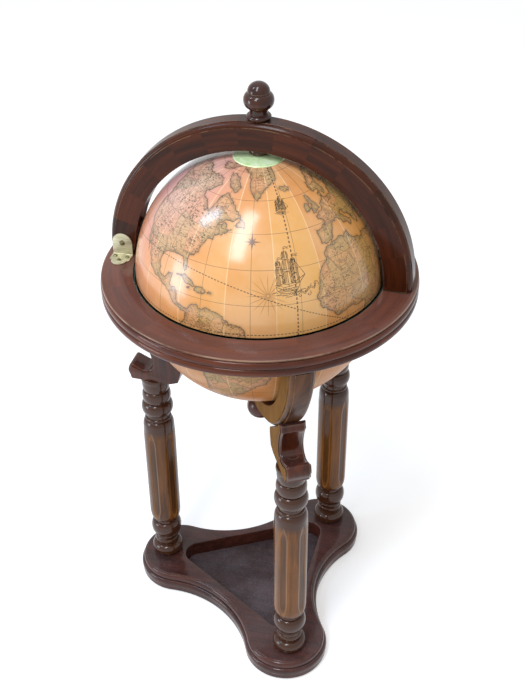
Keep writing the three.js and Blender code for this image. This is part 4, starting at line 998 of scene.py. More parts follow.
coasts = [
    # the two Americas, from the far north-west round by the east
    [(-168, 66), (-162, 70), (-150, 71), (-135, 69), (-125, 70), (-115, 68), (-105, 68), (-95, 69),
     (-88, 68), (-84, 65), (-88, 63), (-94, 59), (-90, 57), (-85, 55), (-81, 52), (-79, 54), (-77, 60),
     (-72, 62), (-66, 59), (-62, 57), (-56, 52), (-60, 50), (-66, 50), (-70, 47), (-65, 49), (-64, 46),
     (-60, 46), (-66, 43), (-70, 43), (-70, 41), (-74, 40), (-76, 37), (-76, 34), (-81, 31), (-80, 27),
     (-81, 24.5), (-82.5, 28), (-84, 30), (-89, 30), (-94, 29), (-97, 27), (-97, 22), (-95, 18.5),
     (-91, 18.5), (-90, 21), (-87, 21.5), (-88, 16.5), (-83.5, 15), (-83, 10.5), (-80, 9), (-77, 8.5),
     (-75, 11), (-72, 12), (-71, 10.5), (-68, 11.5), (-64, 10.5), (-61, 9.5), (-57, 6), (-52, 5),
     (-50, 1), (-48, -1), (-44, -2.5), (-39, -3.5), (-35, -6), (-35, -9), (-39, -13), (-39, -18),
     (-41, -22), (-46, -24), (-48.5, -27), (-53, -33), (-57, -35), (-58, -38), (-62, -39), (-65, -42),
     (-67, -46), (-68, -51), (-69, -54), (-72, -53), (-75, -49), (-73, -42), (-73, -37), (-71.5, -31),
     (-70.5, -25), (-70.5, -18), (-76, -14), (-79, -8), (-81, -5), (-80, -2), (-80, 1), (-77.5, 4),
     (-77.5, 7), (-80, 7), (-83, 8.3), (-86, 10.5), (-88, 13), (-92, 14.5), (-95, 16), (-99, 16.7),
     (-104, 19), (-105.5, 22), (-109, 26), (-113, 31), (-114.7, 31.5), (-111, 26), (-109.6, 23),
     (-112.5, 26.5), (-115.5, 30), (-117.3, 33), (-120.5, 34.5), (-122.5, 38), (-124, 42), (-124, 47),
     (-128, 51), (-133, 56), (-140, 60), (-147, 60.5), (-152, 59), (-158, 56), (-164, 54.5),
     (-158, 58.5), (-165, 61), (-164, 64)],
    # the northern isles
    [(-73, 78), (-65, 76), (-58, 75), (-54, 70), (-52, 65), (-45, 60), (-41, 64), (-32, 68), (-22, 71),
     (-20, 76), (-18, 81), (-35, 83), (-60, 82)],
    [(-85, 73), (-76, 73), (-68, 70), (-62, 66), (-66, 63), (-73, 65), (-80, 69)],
    [(-118, 76), (-100, 78), (-84, 80), (-72, 82), (-90, 75), (-105, 73)],
    [(-24, 65.5), (-22, 64), (-18, 63.4), (-13.7, 65), (-16, 66.5), (-22, 66.3)],
    [(-59, 48), (-53, 47), (-53, 49.5), (-56, 51.5)],
    [(-5.5, 50), (1.3, 51.2), (0.3, 53), (-1.6, 55.5), (-2, 57.6), (-5, 58.7), (-5.5, 55.5), (-3, 54),
     (-4.7, 53), (-5, 51.7)],
    [(-10, 51.5), (-6.3, 52.2), (-6, 54.5), (-8, 55.4), (-10, 54)],
    # the islands of the warm sea in the west
    [(-85, 22), (-80, 23.3), (-76, 21.6), (-74, 20), (-78, 19.8), (-82, 22)],
    [(-74.4, 18.2), (-71, 17.6), (-68.3, 18.4), (-70, 20), (-73, 19.9)],
    [(-67.4, 18), (-65.4, 18), (-65.4, 18.9), (-67.3, 18.9)],
    [(-78.6, 18), (-76.4, 17.8), (-77, 18.8)],
    # the old world, from its south-west cape round by the north and the far east
    [(-9, 37), (-9.5, 43), (-2, 43.5), (-1.5, 46), (-4.8, 48.5), (1.5, 50), (5, 53), (8, 54), (8, 57),
     (10.5, 57.7), (10.3, 54.5), (14, 54), (19, 54.5), (21, 57), (24, 59), (30, 60), (25, 60.5),
     (21.5, 61), (22, 65), (24, 66), (21, 65.5), (17, 61), (17, 58), (14, 55.5), (11, 59), (5.5, 59),
     (5, 62), (12, 66), (20, 70), (28, 71), (40, 67), (34, 66.5), (38, 64), (44, 66), (44, 68.5),
     (54, 68.5), (60, 69), (68, 73), (80, 73), (90, 75), (104, 77.5), (113, 74), (130, 71), (140, 72.5),
     (160, 70), (178, 69), (180, 65.5), (177, 62.5), (170, 60), (162, 58), (157, 51), (155.5, 57),
     (163, 61.5), (155, 59.5), (142, 59), (136, 54.5), (140.5, 51), (138, 46), (132, 43), (127.5, 39.5),
     (129, 36), (126.5, 34.5), (125, 38), (121, 39.5), (118, 38.5), (120, 36.5), (121, 32), (121, 28),
     (116, 23), (110, 21), (108, 21.5), (106, 19), (109, 12.5), (105, 9), (102, 12.5), (99.5, 12),
     (99.5, 9), (103, 4), (104, 1.3), (101, 3), (98.5, 8), (98, 13), (97, 16.5), (94, 17), (91.5, 22.5),
     (87, 21.5), (80.5, 15.5), (80, 12), (77.5, 8), (74, 14.5), (72.5, 20.5), (69.5, 21), (67, 24.5),
     (61, 25.3), (57, 26.5), (51, 28.5), (48.5, 30), (51, 25), (54, 24), (56.3, 26), (59.5, 22.5),
     (55, 17.5), (45, 13), (43, 13.5), (39, 21.5), (35, 28), (33.5, 29.5), (36, 24), (37.5, 19),
     (43, 12), (51, 12), (47, 4), (41, -2), (39, -8), (40.5, -15), (35, -20), (35.5, -24),
     (32.5, -28.5), (27, -34), (20, -35), (18, -32), (15, -27), (12, -17.5), (13.5, -11), (9, -1),
     (9.5, 4), (5, 4.5), (1, 6), (-4, 5), (-8, 4.5), (-13, 8.5), (-16.5, 12), (-17.5, 15), (-16, 20),
     (-14, 26), (-9.5, 30), (-9.5, 33), (-6, 35.3), (0, 36), (10, 37.3), (10.5, 34.5), (15, 32.3),
     (20, 31), (20, 32.8), (25, 31.7), (31, 31.5), (34.5, 31.5), (36, 36), (30.5, 36.5), (27, 37),
     (26.5, 40), (29, 41), (35, 42), (41, 41.5), (38, 45), (39, 47), (34, 46), (33.5, 44.5), (31, 46.5),
     (28.5, 44), (28, 41.5), (23.5, 40.5), (24, 38), (22.5, 36.5), (20, 40), (19.5, 42), (13.5, 45.5),
     (12.5, 44), (18, 40.5), (16, 38), (11, 42.5), (8.5, 44.3), (3, 43), (0, 40), (-0.5, 38),
     (-2, 36.8), (-5.5, 36)],
    # the islands south and east of it, and the south land
    [(44, -16), (49.5, -12.5), (50, -16), (47, -25), (44, -24)],
    [(80, 9.5), (81.8, 7), (80.3, 6)],
    [(95.5, 5.5), (104, -2), (105.8, -5.8), (100, -2)],
    [(109, 1.5), (113, 3), (117, 7), (119, 5), (117.5, 0), (116, -4), (110.5, -3)],
    [(105.5, -6.3), (110, -6.6), (114.4, -7.8), (108, -7.9)],
    [(131, -1), (137, -1.7), (145, -4.5), (150.5, -10.5), (143, -9), (138, -8), (133, -4)],
    [(114, -22), (122, -18), (126, -14), (130, -12), (136, -12), (136, -16), (140, -17.5), (142, -11),
     (146, -19), (153, -26), (151, -33.5), (147, -38.5), (140, -38), (135, -34.5), (131, -31.5),
     (124, -33.5), (116, -35), (115.5, -31)],
    [(173, -35), (178, -38), (175, -41.5), (168, -47), (167, -45), (173, -40.5)],
    [(130, 31.5), (136, 33.7), (140.5, 35.5), (142, 40), (141, 45), (140, 41), (137, 37), (131, 34.5)],
    [(-180, -77), (-150, -75), (-100, -72), (-65, -66), (-58, -63.5), (-60, -74), (-30, -76), (0, -70),
     (40, -68), (80, -67), (110, -66), (140, -67), (165, -71), (180, -77), (180, -90), (-180, -90)],
]


def drawn_coasts():
    """All coasts as short steps, roughened as an engraver's hand would, with a fixed seed."""
    hand = np.random.default_rng(7)
    drawn = []
    for coast in coasts:
        ring = np.array(coast + coast[:1], float)
        steps = []
        for a, b in zip(ring, ring[1:]):
            length = np.hypot(*(b - a))
            count = max(1, int(length / coast_step))
            if length > map_jump or a[1] < -80:
                count = 1
            across = np.array([-(b - a)[1], (b - a)[0]]) / max(length, 0.001)
            for i in range(count):
                wander = hand.normal(0, 0.42) if i else hand.normal(0, 0.15)
                steps.append(a + (b - a) * i / count + across * wander * (count > 1))
        drawn.append(np.array(steps))
    return drawn


def coast_distance(places, radius):
    """For unit directions, how far inside (+) or outside (-) a coast they lie, in mm."""
    lat = np.degrees(np.arcsin(np.clip(places[:, 2], -1, 1)))
    lon = (np.degrees(np.arctan2(places[:, 1], places[:, 0])) + map_turn + 180) % 360 - 180
    inside = np.zeros(len(places), bool)
    nearest = np.full(len(places), coast_reach)
    for ring in drawn_coasts():
        after = np.roll(ring, -1, axis=0)
        for (x1, y1), (x2, y2) in zip(ring, after):
            if y1 > map_foot or y2 > map_foot:
                crossing = (x2 - x1) * (lat - y1) / (y2 - y1 + 1e-12) + x1
                inside ^= ((y1 > lat) != (y2 > lat)) & (lon < crossing)
            if min(y1, y2) < map_foot or abs(x2 - x1) > map_jump:
                continue
            near = np.abs(lat - (y1 + y2) / 2) < 12
            if not near.any():
                continue
            a, b = (np.array(on_globe(x, y)) * radius for x, y in ((x1, y1), (x2, y2)))
            here = places[near] * radius
            along = np.clip(((here - a) @ (b - a)) / ((b - a) @ (b - a) + 1e-12), 0, 1)
            gap = np.linalg.norm(here - a - along[:, None] * (b - a), axis=1)
            nearest[near] = np.minimum(nearest[near], gap)
    return np.where(inside, nearest, -nearest)


def print_map(piece, centre, radius):
    """Stores the coasts on the shell's points, for its paper to read."""
    points = np.empty(len(piece.data.vertices) * 3)
    piece.data.vertices.foreach_get("co", points)
    points = points.reshape(-1, 3) / mm - (0, 0, centre)
    out = np.linalg.norm(points, axis=1)
    papered = out > radius - 1
    values = np.full(len(points), -coast_reach)
    values[papered] = coast_distance(points[papered] / out[papered, None], radius)
    coast = piece.data.attributes.new("coast", "FLOAT", "POINT")
    coast.data.foreach_set("value", values.astype(np.float32))


def narrow(distance, width):
    """A printed line: 1 where the distance, in mm, is under the width, with a soft edge."""
    return fade(distance, width + 0.35, width)


def dashes(run, pitch, share=0.58):
    """Breaks a line into dashes along its run, in mm."""
    return fade((run / pitch).reckon("FRACT"), share + 0.06, share)


map_lines, given = open_group("map_lines", Way=None, Radius=globe_radius)
way, radius = given["Way"], given["Radius"]
x, y, z = split(way)
bearing = y.reckon("ARCTAN2", x)
latitude = z.reckon("ARCSINE")
girth = latitude.reckon("COSINE") * radius


def meridians(count, offset, width):
    """Evenly spaced meridians, of the same width from rim to pole."""
    turn = (bearing + math.radians(offset)) * (count / 2)
    return narrow(abs(turn.reckon("SINE")) * (2 / count) * girth, width)


parallel = abs((latitude * parallel_count).reckon("SINE")) * (globe_radius / parallel_count)
northing = latitude * radius
equator = narrow(abs(northing - 5), 0.55) * dashes(bearing * radius, 5.6)
tilt, node = math.radians(27.3), math.radians(-33)
pole = Vector((-math.sin(tilt) * math.sin(node), math.sin(tilt) * math.cos(node), math.cos(tilt)))
start = Vector((math.cos(node), math.sin(node), 0))
travelled = dotted(way, pole.cross(start)).reckon("ARCTAN2", dotted(way, start))
sun_path = narrow(abs(dotted(way, pole)) * radius, 0.55) * dashes(travelled * radius, 5.2)
first_turn = math.radians(58.3)
off_first = abs(dotted(way, Vector((math.sin(first_turn), math.cos(first_turn), 0)))) * radius
front_half = fade(dotted(way, Vector((math.cos(first_turn), -math.sin(first_turn), 0))), 0.0, 0.02)
first_meridian = narrow(off_first, 0.8) * dashes(northing, 6.4) * front_half
close_group(map_lines, Fine=most(meridians(gore_count, 78.75, 0.25), narrow(parallel, 0.25)),
            Bold=most(equator, sun_path, first_meridian), Seam=meridians(gore_count, 90, 0.5),
            Gore=((bearing + math.pi / 2) * (gore_count / 2 / math.pi)).reckon("FLOOR"),
            Latitude=latitude)


def tangent(bearing, lat):
    """A place of the globe by its own bearing, with its east and north."""
    middle = on_globe(bearing + map_turn, lat)
    east = Vector((0, 0, 1)).cross(middle).normalized()
    return middle, east, middle.cross(east)


wind_rose, given = open_group("wind_rose", Way=None, Middle=None, East=None, North=None)
u, v = (dotted(given["Way"], given[side]) * globe_radius for side in ("East", "North"))
front = fade(dotted(given["Way"], given["Middle"]), 0.9, 0.95)
angle = v.reckon("ARCTAN2", u)
spread = far_from(u, v)
eighth = (angle / (math.pi / 4)).reckon("ROUND")
fold = angle - eighth * (math.pi / 4)
reach_out = (eighth * math.pi).reckon("COSINE") * 2.6 + 11.4
along = spread * fold.reckon("COSINE")
kite = 2.3 - along / reach_out * 2.3 - spread * abs(fold.reckon("SINE"))
ray = spread * abs((angle * 8).reckon("SINE")) / 8
close_group(wind_rose, Star=fade(kite, -0.1, 0.4) * front, Half=fade(fold, -0.02, 0.02),
            Rays=narrow(ray, 0.2) * fade(spread, 36, 20) * fade(spread, 1.0, 3.0) * front)


def cells(way, scale, feature="F1", scatter=1.0):
    return place(way.tree, "ShaderNodeTexVoronoi", {
        "Vector": way, "Scale": scale, "Randomness": scatter}, feature=feature)


engraved_land, given = open_group("engraved_land", Way=None, Coast=0.0, Latitude=0.0)
way = vector_sum("MULTIPLY", given["Way"], (globe_radius,) * 3)
wander = speckle(way, 0.32, 4.0, 0.65)
coast = given["Coast"] + (wander - 0.5) * 4.2
land = fade(coast, -0.1, 0.3)
bank = fade(coast, -4.5, -0.5) * fade(coast, 0.2, -0.2)
strokes = given["Latitude"] * (globe_radius * 2 * math.pi / hatch_pitch)
stroke = fade(strokes.reckon("SINE"), 0.0, 0.5)
border_line = fade(cells(way, 0.038, "DISTANCE_TO_EDGE")["Distance"], 0.03, 0.008)
border_line *= dashes(wander * 60, 3.0, 0.5)
hills = cells(way, 0.2, scatter=0.8)
north_side = split(vector_sum("SUBTRACT", way, hills["Position"]))[2]
hump = fade(abs(hills["Distance"] - 0.36), 0.10, 0.05) * fade(north_side, -0.4, 0.4)
hump *= fade(speckle(way, 0.03, 2.0), 0.46, 0.54)
rivers = fade(abs(speckle(way, 0.05, 5.0, 0.6) - 0.5), 0.012, 0.004)
hatching = fade(speckle(way, (0.16, 0.16, 1.1), 3.0, 0.6), 0.52, 0.6) * 0.34
inland = land * most(hump, rivers, border_line * 0.8, hatching)
shading = fade(coast, 7, 0.5) * land * 0.45
close_group(engraved_land, Land=land,
            Ink=most(narrow(abs(coast), 0.45), inland, shading, bank * stroke * 0.7),
            Realm=place(engraved_land, "ShaderNodeSeparateColor", {0: cells(way, 0.038)["Color"]}))


def map_paper(name, centre, radius, warm, yellow, varnish, roses=()):
    """Printed and varnished map paper, pasted on in gores and browned with age, with painted light: a
    warm-to-yellow sweep across the globe and a pale mauve sheen toward its upper west.
    """
    paper, tree, where = new_finish(name)
    way = vector_sum("NORMALIZE", vector_sum("SUBTRACT", where, (0, 0, centre * mm)))
    lines = use_group(tree, map_lines, Way=way, Radius=radius)
    coast = place(tree, "ShaderNodeAttribute", attribute_name="coast")["Fac"]
    land = use_group(tree, engraved_land, Way=way, Coast=coast, Latitude=lines["Latitude"])
    # painted light: the paper shifts from the warm colour to the yellow across the globe
    painted_light_sweep = fade(dotted(way, (0.866, -0.5, 0)), -0.75, 0.85, "LINEAR")
    # painted sheen: pale mauve toward the upper west
    painted_pale_sheen = fade(lines["Latitude"], 0.3, 0.95) * fade(painted_light_sweep, 0.75, 0.2) * 0.85
    colour = blend(painted_pale_sheen, blend(painted_light_sweep, stain(warm), stain(yellow)), stain("#c59aa6"))
    colour = blend(chance(lines["Gore"]) * 0.6, colour, stain("#c87838"))
    age = fade(speckle(where, 9, 5.0, 0.6), 0.35, 0.75)
    colour = blend(age * 0.35, colour, stain("#f2cba0"))
    tints = place(tree, "ShaderNodeValToRGB", {0: land["Realm"]})
    ramp = tints.socket.node.color_ramp
    ramp.interpolation = "CONSTANT"
    ramp.elements[0].color = stain("#c39d6c")
    for at, code in ((0.22, "#8f9566"), (0.42, "#cf9a72"), (0.6, "#a39a6c"), (0.8, "#c59a78")):
        ramp.elements.new(at).color = stain(code)
    ramp.elements[-1].color = stain("#c59a78")
    colour = blend(land["Land"] * 0.36, colour, tints)
    colour = blend(lines["Seam"] * 0.55, colour, stain("#f0cfa0"))
    ink = most(land["Ink"] * 0.88, lines["Fine"] * 0.6)
    for turn, lat, star in roses:
        middle, east, north = tangent(turn, lat)
        rose = use_group(tree, wind_rose, Way=way, Middle=middle, East=east, North=north)
        if star:
            halves = blend(rose["Half"], stain("#7d4a3c"), stain("#4a4640"))
            colour = blend(rose["Star"] * 0.85, colour, halves)
        else:
            ink = most(ink, rose["Rays"] * 0.6)
    worn = fade(speckle(where, 60, 4.0, 0.6), 0.25, 0.5)
    colour = blend(ink * (worn * 0.3 + 0.7), colour, stain("#403a2a"))
    colour = blend(lines["Bold"] * 0.85, colour, stain("#2b2620"))
    haze = speckle(where, 30, 4.0)
    surface(tree, {
        "Base Color": colour, "Roughness": haze * 0.15 + 0.3, "Coat Weight": varnish,
        "Coat Roughness": 0.17, "Specular IOR Level": 0.2}, 0.15, 0.0003, lines["Seam"] + haze * 0.4)
    return paper


def line_inside(piece, centre, radius, lining):
    """Gives the inner wall its own finish."""
    piece.data.materials.append(lining)
    for face in piece.data.polygons:
        inside = (face.center / mm - Vector((0, 0, centre))).length < radius - 1
        face.material_index = 1 if inside else 0


print_map(lower_bowl, bowl_centre, bowl_radius)
shell_lining = pressed_felt("shell_lining", "#6b4a34", "#8a6347")
# The bowl's paper takes darker, more saturated colours than the lid's: painted shade on the same paper.
finish_with(map_paper("bowl_paper", bowl_centre, bowl_radius, "#a9601a", "#b26c18", 0.06), lower_bowl)
line_inside(lower_bowl, bowl_centre, bowl_radius, shell_lining)
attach(lower_bowl, "stand")
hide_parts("lower_bowl")


# Rack
# A round board of plain stained wood, sawn out for bottles and glasses, and a solid board under
# it for their feet. Three turned posts, glued into both, keep them apart.
finish_with(polished("rack_stain", grain_across, "#5a3a26", "#8a5f40", dust=0.2, shine=0.1,
                     rough=0.5), "rack_board", "rack_floor")
finish_with(polished("post_stain", grain_upright, "#4b2f20", "#754f36", dust=0.05, shine=0.1,
                     rough=0.5), "rack_post_1", "rack_post_2", "rack_post_3")


# Lid
# The upper half of the globe, a thin moulded shell papered like the bowl. It hangs in the arch,
# on one stud at the pole and a screw at each side. Two ships and a flourish are inked on it.
lid_centre = 740.8
lid_finish = math.degrees(math.acos(land_radius / globe_radius))
lid_outside = arc((0, lid_centre), globe_radius, 0, lid_finish, 180)
lid_inside = arc((0, lid_centre), globe_radius - shell_wall, lid_finish, 0, 64)
lid_profile = [*lid_outside, (stud_bore, lid_outside[-1][1]), (stud_bore, lid_inside[0][1]),
               *lid_inside, lid_outside[0]]
upper_shell = lathe("lid_papered", lid_profile, steps=360)
print_map(upper_shell, lid_centre, globe_radius)
finish_with(map_paper("lid_paper", lid_centre, globe_radius, "#d0764e", "#dfa44e", 1.0,
                      [(-78.7, 41.8, True), (-71, 19.4, False)]), upper_shell)
line_inside(upper_shell, lid_centre, globe_radius, shell_lining)
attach(upper_shell, "lid")
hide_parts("upper_shell")


def sail(mast, foot, head, width):
    """A square sail with its belly and the shade lines of an engraving."""
    middle = (foot + head) / 2
    rim = [(mast - width, foot), (mast - width * 0.3, foot - 1), (mast + width, foot),
           (mast + width * 1.1, middle), (mast + width * 0.8, head), (mast - width * 0.7, head),
           (mast - width * 1.15, middle), (mast - width, foot)]
    shade = [[(mast + width * x, foot + 1), (mast + width * (x + 0.08), middle),
              (mast + width * x * 0.8, head - 1)] for x in (-0.85, -0.6, -0.35, 0.5, 0.75)]
    return [rim, *shade]


def ship_strokes(size):
    """A three-masted ship under full sail, drawn for a mast of 70 and then made smaller or larger."""
    hull = [(-19, -19), (-18, -27), (-13, -33), (-2, -35), (9, -34), (15, -29), (20, -19), (12, -23),
            (-7, -25), (-12, -21), (-19, -19)]
    strokes = [hull, [(-18, -23), (-8, -28), (15, -27)], [(-16, -29), (12, -30)],
               [(-14, -31), (10, -32)], [(-17, -21), (-13, -22)], [(19, -20), (28, -10)],
               [(28, -10), (13, 14)], [(28, -10), (12, -18)]]
    strokes += [[(x, -26.5 - 0.1 * x), (x, -29)] for x in range(-12, 13, 4)]
    for mast, foot, head in ((-11, -22, 19), (1, -25, 34), (12, -23, 21)):
        strokes.append([(mast, foot), (mast, head)])
        tall = head - foot
        for low, high, wide in ((0.08, 0.38, 7.6), (0.41, 0.68, 6.2), (0.71, 0.9, 4.4)):
            half_sail = wide if mast == 1 else wide * 0.8
            strokes += sail(mast, foot + tall * low, foot + tall * high, half_sail)
        strokes.append([(mast, head), (mast + 3, head + 1.5), (mast + 6, head - 0.5),
                        (mast + 9, head + 1.5)])
        strokes.append([(mast, head - 2), (mast + 4, head - 1), (mast + 8, head - 2.5)])
    waves = ((-16, -36), (-7, -38), (3, -37.5), (13, -36), (22, -33), (-22, -32), (8, -40), (-2, -41))
    strokes += [[(x - 4, y), (x - 1.5, y + 1.6), (x, y), (x + 2, y + 1.4), (x + 5, y)]
                for x, y in waves]
    return [[(x * size, y * size) for x, y in stroke] for stroke in strokes]


def curl(x, y, size, turn, way):
    """A spiral flourish that winds inward, one way or the other."""
    return [(x + size * (1 - i / 26) * math.cos(turn + way * i / 4),
             y + size * (1 - i / 26) * math.sin(turn + way * i / 4)) for i in range(25)]


def flourish_strokes():
    """A sea beast's curled tail and spray, as generic as on any old chart."""
    back = [(-20, -3), (-14, 2), (-8, -1), (-3, -4), (2, 1), (7, 4), (12, 1), (15, 5)]
    strokes = [back, [(x, y - 2.2) for x, y in back], curl(15, 6, 5, -0.6, 1),
               curl(-21, -1, 4, 2.4, -1), curl(3, -7, 4.2, 1.2, -1), curl(-10, -7, 3.6, 1.8, 1)]
    strokes += [[(x, y + 0.6), (x + 1.2, y + 3.2)] for x, y in back[1:]]
    return strokes


def ink_on_globe(name, turn, lat, strokes, width, lean=0.0):
    """Strokes of ink on the varnished paper, each drawn on the globe and given the pen's width."""
    middle, east, north = tangent(turn, lat)
    across = math.cos(lean) * east + math.sin(lean) * north
    up = math.cos(lean) * north - math.sin(lean) * east
    pieces = []
    for stroke in strokes:
        dense = []
        for a, b in zip(stroke, stroke[1:]):
            count = max(1, int(math.dist(a, b) / 3))
            dense += [(a[0] + (b[0] - a[0]) * i / count, a[1] + (b[1] - a[1]) * i / count)
                      for i in range(count)]
        dense.append(stroke[-1])
        line = [(middle + (across * x + up * y) / globe_radius).normalized() * globe_radius
                + Vector((0, 0, lid_centre)) for x, y in dense]
        pieces.append(draw_line(name, line))
        bpy.ops.object.mode_set(mode="OBJECT")
    for piece in pieces:
        piece.select_set(True)
    bpy.ops.object.join()
    bpy.ops.object.convert(target="CURVE")
    drawing = bpy.context.object
    drawing.data.bevel_depth = width / 2 * mm
    drawing.data.bevel_resolution = 1
    bpy.ops.object.convert(target="MESH")
    drawing = bpy.context.object
    drawing.name = name
    return drawing


ink, tree, where = new_finish("ship_ink")
thin = fade(speckle(where, 300), 0.4, 0.75)
surface(tree, {
    "Base Color": blend(thin, stain("#4a4232"), stain("#8a6e4e")), "Roughness": 0.5,
    "Specular IOR Level": 0.2}, 0.1, 0.0001, thin)
for drawing in (ink_on_globe("ship_large", -62, 29.5, ship_strokes(0.98), 0.72, 0.05),
                ink_on_globe("ship_small", -58.8, 57.6, ship_strokes(0.42), 0.55),
                ink_on_globe("sea_flourish", -53.4, 20.3, flourish_strokes(), 0.8)):
    finish_with(ink, drawing)
    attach(drawing, "lid")
finish_with(zinc, "lid_washer", "lid_nut", "side_screw_hinge", "side_screw_free")
finish_with(rubber, "side_spacer_hinge", "side_spacer_free")


# Arch
# A half-circle bow glued up like the arms and moulded on its two outer corners. Its hinge foot
# is rounded about the bolt; its free foot comes down on a felt pad.
arch_inner = 204.5
arch_outer = 249
arch_centre = 748.3
arch_thickness = 42
pivot_out = 226.75
pivot_level = 763.1
free_foot = 742.4
arch = draw_line("arch_bent", [
    (arch_outer - inward, across, free_foot)
    for inward, across in moulded_section(arch_outer - arch_inner, arch_thickness)])
bpy.ops.mesh.select_all(action="SELECT")
bpy.ops.mesh.edge_face_add()
rise_to_bow = (0, 0, (arch_centre - free_foot) * mm)
bpy.ops.mesh.extrude_region_move(TRANSFORM_OT_translate={"value": rise_to_bow})
spin_on(144, -180, (0, 0, arch_centre), (0, 1, 0))
drop_to_ring = (0, 0, (ring_top + 2 * fit_gap - arch_centre) * mm)
bpy.ops.mesh.extrude_region_move(TRANSFORM_OT_translate={"value": drop_to_ring})
close_up(arch)
foot_radius = pivot_out - arch_inner


def upright(x, level, y):
    return (x, y, level)


foot_round = arc((-pivot_out, pivot_level), foot_radius, 180, 360, 48)
combine(arch, prism("foot_waste", [
    (-arch_outer, pivot_level), *foot_round, (-arch_inner + 2, pivot_level),
    (-arch_inner + 2, ring_top - 20), (-arch_outer - 2, ring_top - 20), (-arch_outer - 2, pivot_level)],
    -30, 30, upright))
work_on(arch)
shade_smooth()
finish_with(polished("arch_stain", glued_lengths("bow", 226, 26, arch_centre), "#290f03", "#50220b",
                     dust=0.08, shine=0.24), arch)
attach(arch, "lid")
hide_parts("arch")
finish_with(green_felt, "foot_pad")


# Hinge
# Two brass brackets bent from sheet, one on each side of the arch's foot, each screwed to the
# ring by three slotted screws. One bolt goes through both and the arch.
leaf_half = 17
leaf_thickness = 1.6
leaf_back = 21.3
leaf_foot = ring_top + fit_gap
bend_out = 2.4
leaf_reach = 36
leaf_above = 20
toe_start = 18.5
sheet_edge = [(leaf_back, pivot_level + leaf_above)]
sheet_edge += [(leaf_back + bend_out + bend_out * x, leaf_foot + bend_out + bend_out * y)
               for x, y in arc((0, 0), 1, 180, 270, 6)]
sheet_edge += [(leaf_back + leaf_reach, leaf_foot),
               (leaf_back + leaf_reach, leaf_foot + leaf_thickness)]
sheet_edge += [(leaf_back + bend_out + (bend_out - leaf_thickness) * x,
                leaf_foot + bend_out + (bend_out - leaf_thickness) * y)
               for x, y in arc((0, 0), 1, 270, 180, 6)]
sheet_edge += [(leaf_back + leaf_thickness, pivot_level + leaf_above)]
bracket = prism("bracket_bent_front", sheet_edge, -pivot_out - leaf_half, -pivot_out + leaf_half,
                lambda out, level, x: (x, -out, level))
round_top = arc((-pivot_out, pivot_level), leaf_half, 180, 0, 32)
combine(bracket, prism("leaf_waste", [
    (-pivot_out - 20, pivot_level), *round_top, (-pivot_out + 20, pivot_level),
    (-pivot_out + 20, pivot_level + 30), (-pivot_out - 20, pivot_level + 30)],
    -30, -10, upright))
round_toe = [(-leaf_half, toe_start), (-14.5, 21), *arc((0, 21), 13, 180, 0, 24), (14.5, 21),
             (leaf_half, toe_start)]
combine(bracket, prism("toe_waste", [
    (-pivot_out + x, -leaf_back - y)
    for x, y in [(-20, toe_start), *round_toe, (20, toe_start), (20, 45), (-20, 45)]],
    leaf_foot - 5, leaf_foot + 10))
start_edit(bracket, "EDGE")
bpy.ops.mesh.edges_select_sharp(sharpness=math.radians(50))
ease(0.3, 2)
rear_bracket = copy_of(bracket, "bracket_bent_rear")
start_edit(rear_bracket, "VERT", "SELECT")
bpy.ops.transform.rotate(value=math.pi, orient_axis="Z", center_override=(-pivot_out * mm, 0, 0))
bpy.ops.object.mode_set(mode="OBJECT")
pale_brass = bright_metal("pale_brass", "#b0a888", "#d3ccae", 0.38, (60, 60, 900), "#8a7a55", 0.3, 0.75)
for piece, node in ((bracket, "hinge_bracket_front"), (rear_bracket, "hinge_bracket_rear")):
    finish_with(pale_brass, piece)
    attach(piece, "stand")
    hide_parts(node)


def slotted(name, top, head_radius, head_height, shank_radius, length, slot_turn):
    """A round-headed screw, turned from brass rod, with a slot sawn across it."""
    under_head = top.z - head_height
    dome = [(head_radius * math.sin(turn), top.z - head_height * (1 - math.cos(turn)))
            for turn in map(math.radians, range(0, 91, 9))]
    screw = lathe(name, [*dome, (shank_radius, under_head), (shank_radius, under_head - length),
                         (0, under_head - length)], top.x, top.y, 36)
    bpy.ops.object.select_all(action="DESELECT")
    bpy.ops.mesh.primitive_cube_add(size=mm, location=top * mm, rotation=(0, 0, slot_turn),
                                    scale=(3 * head_radius, 0.9, head_height))
    bpy.ops.object.transform_apply(location=True, rotation=True, scale=True)
    combine(screw, bpy.context.object)
    work_on(screw)
    shade_smooth()
    return screw


dull_brass = bright_metal("dull_brass", "#6f684c", "#9a9270", 0.35, (300, 300, 300), "#4c4630", 0.5)
head_radius = 3.6
head_height = 1.8
shank_radius = 1.5
for number, slot_turn in enumerate((0.4, 1.9, 2.6, 1.1, 0.1, 2.2), 1):
    node = f"bracket_screw_{number}"
    low, high = (Vector(corner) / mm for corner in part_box(node))
    top = Vector(((low.x + high.x) / 2, (low.y + high.y) / 2, high.z))
    screw = slotted(f"bracket_screw_slotted_{number}", top, head_radius, head_height, shank_radius,
                    high.z - low.z - head_height, slot_turn)
    finish_with(dull_brass, screw)
    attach(screw, "stand")
    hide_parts(node)
finish_with(dull_brass, "hinge_bolt", "hinge_nut")


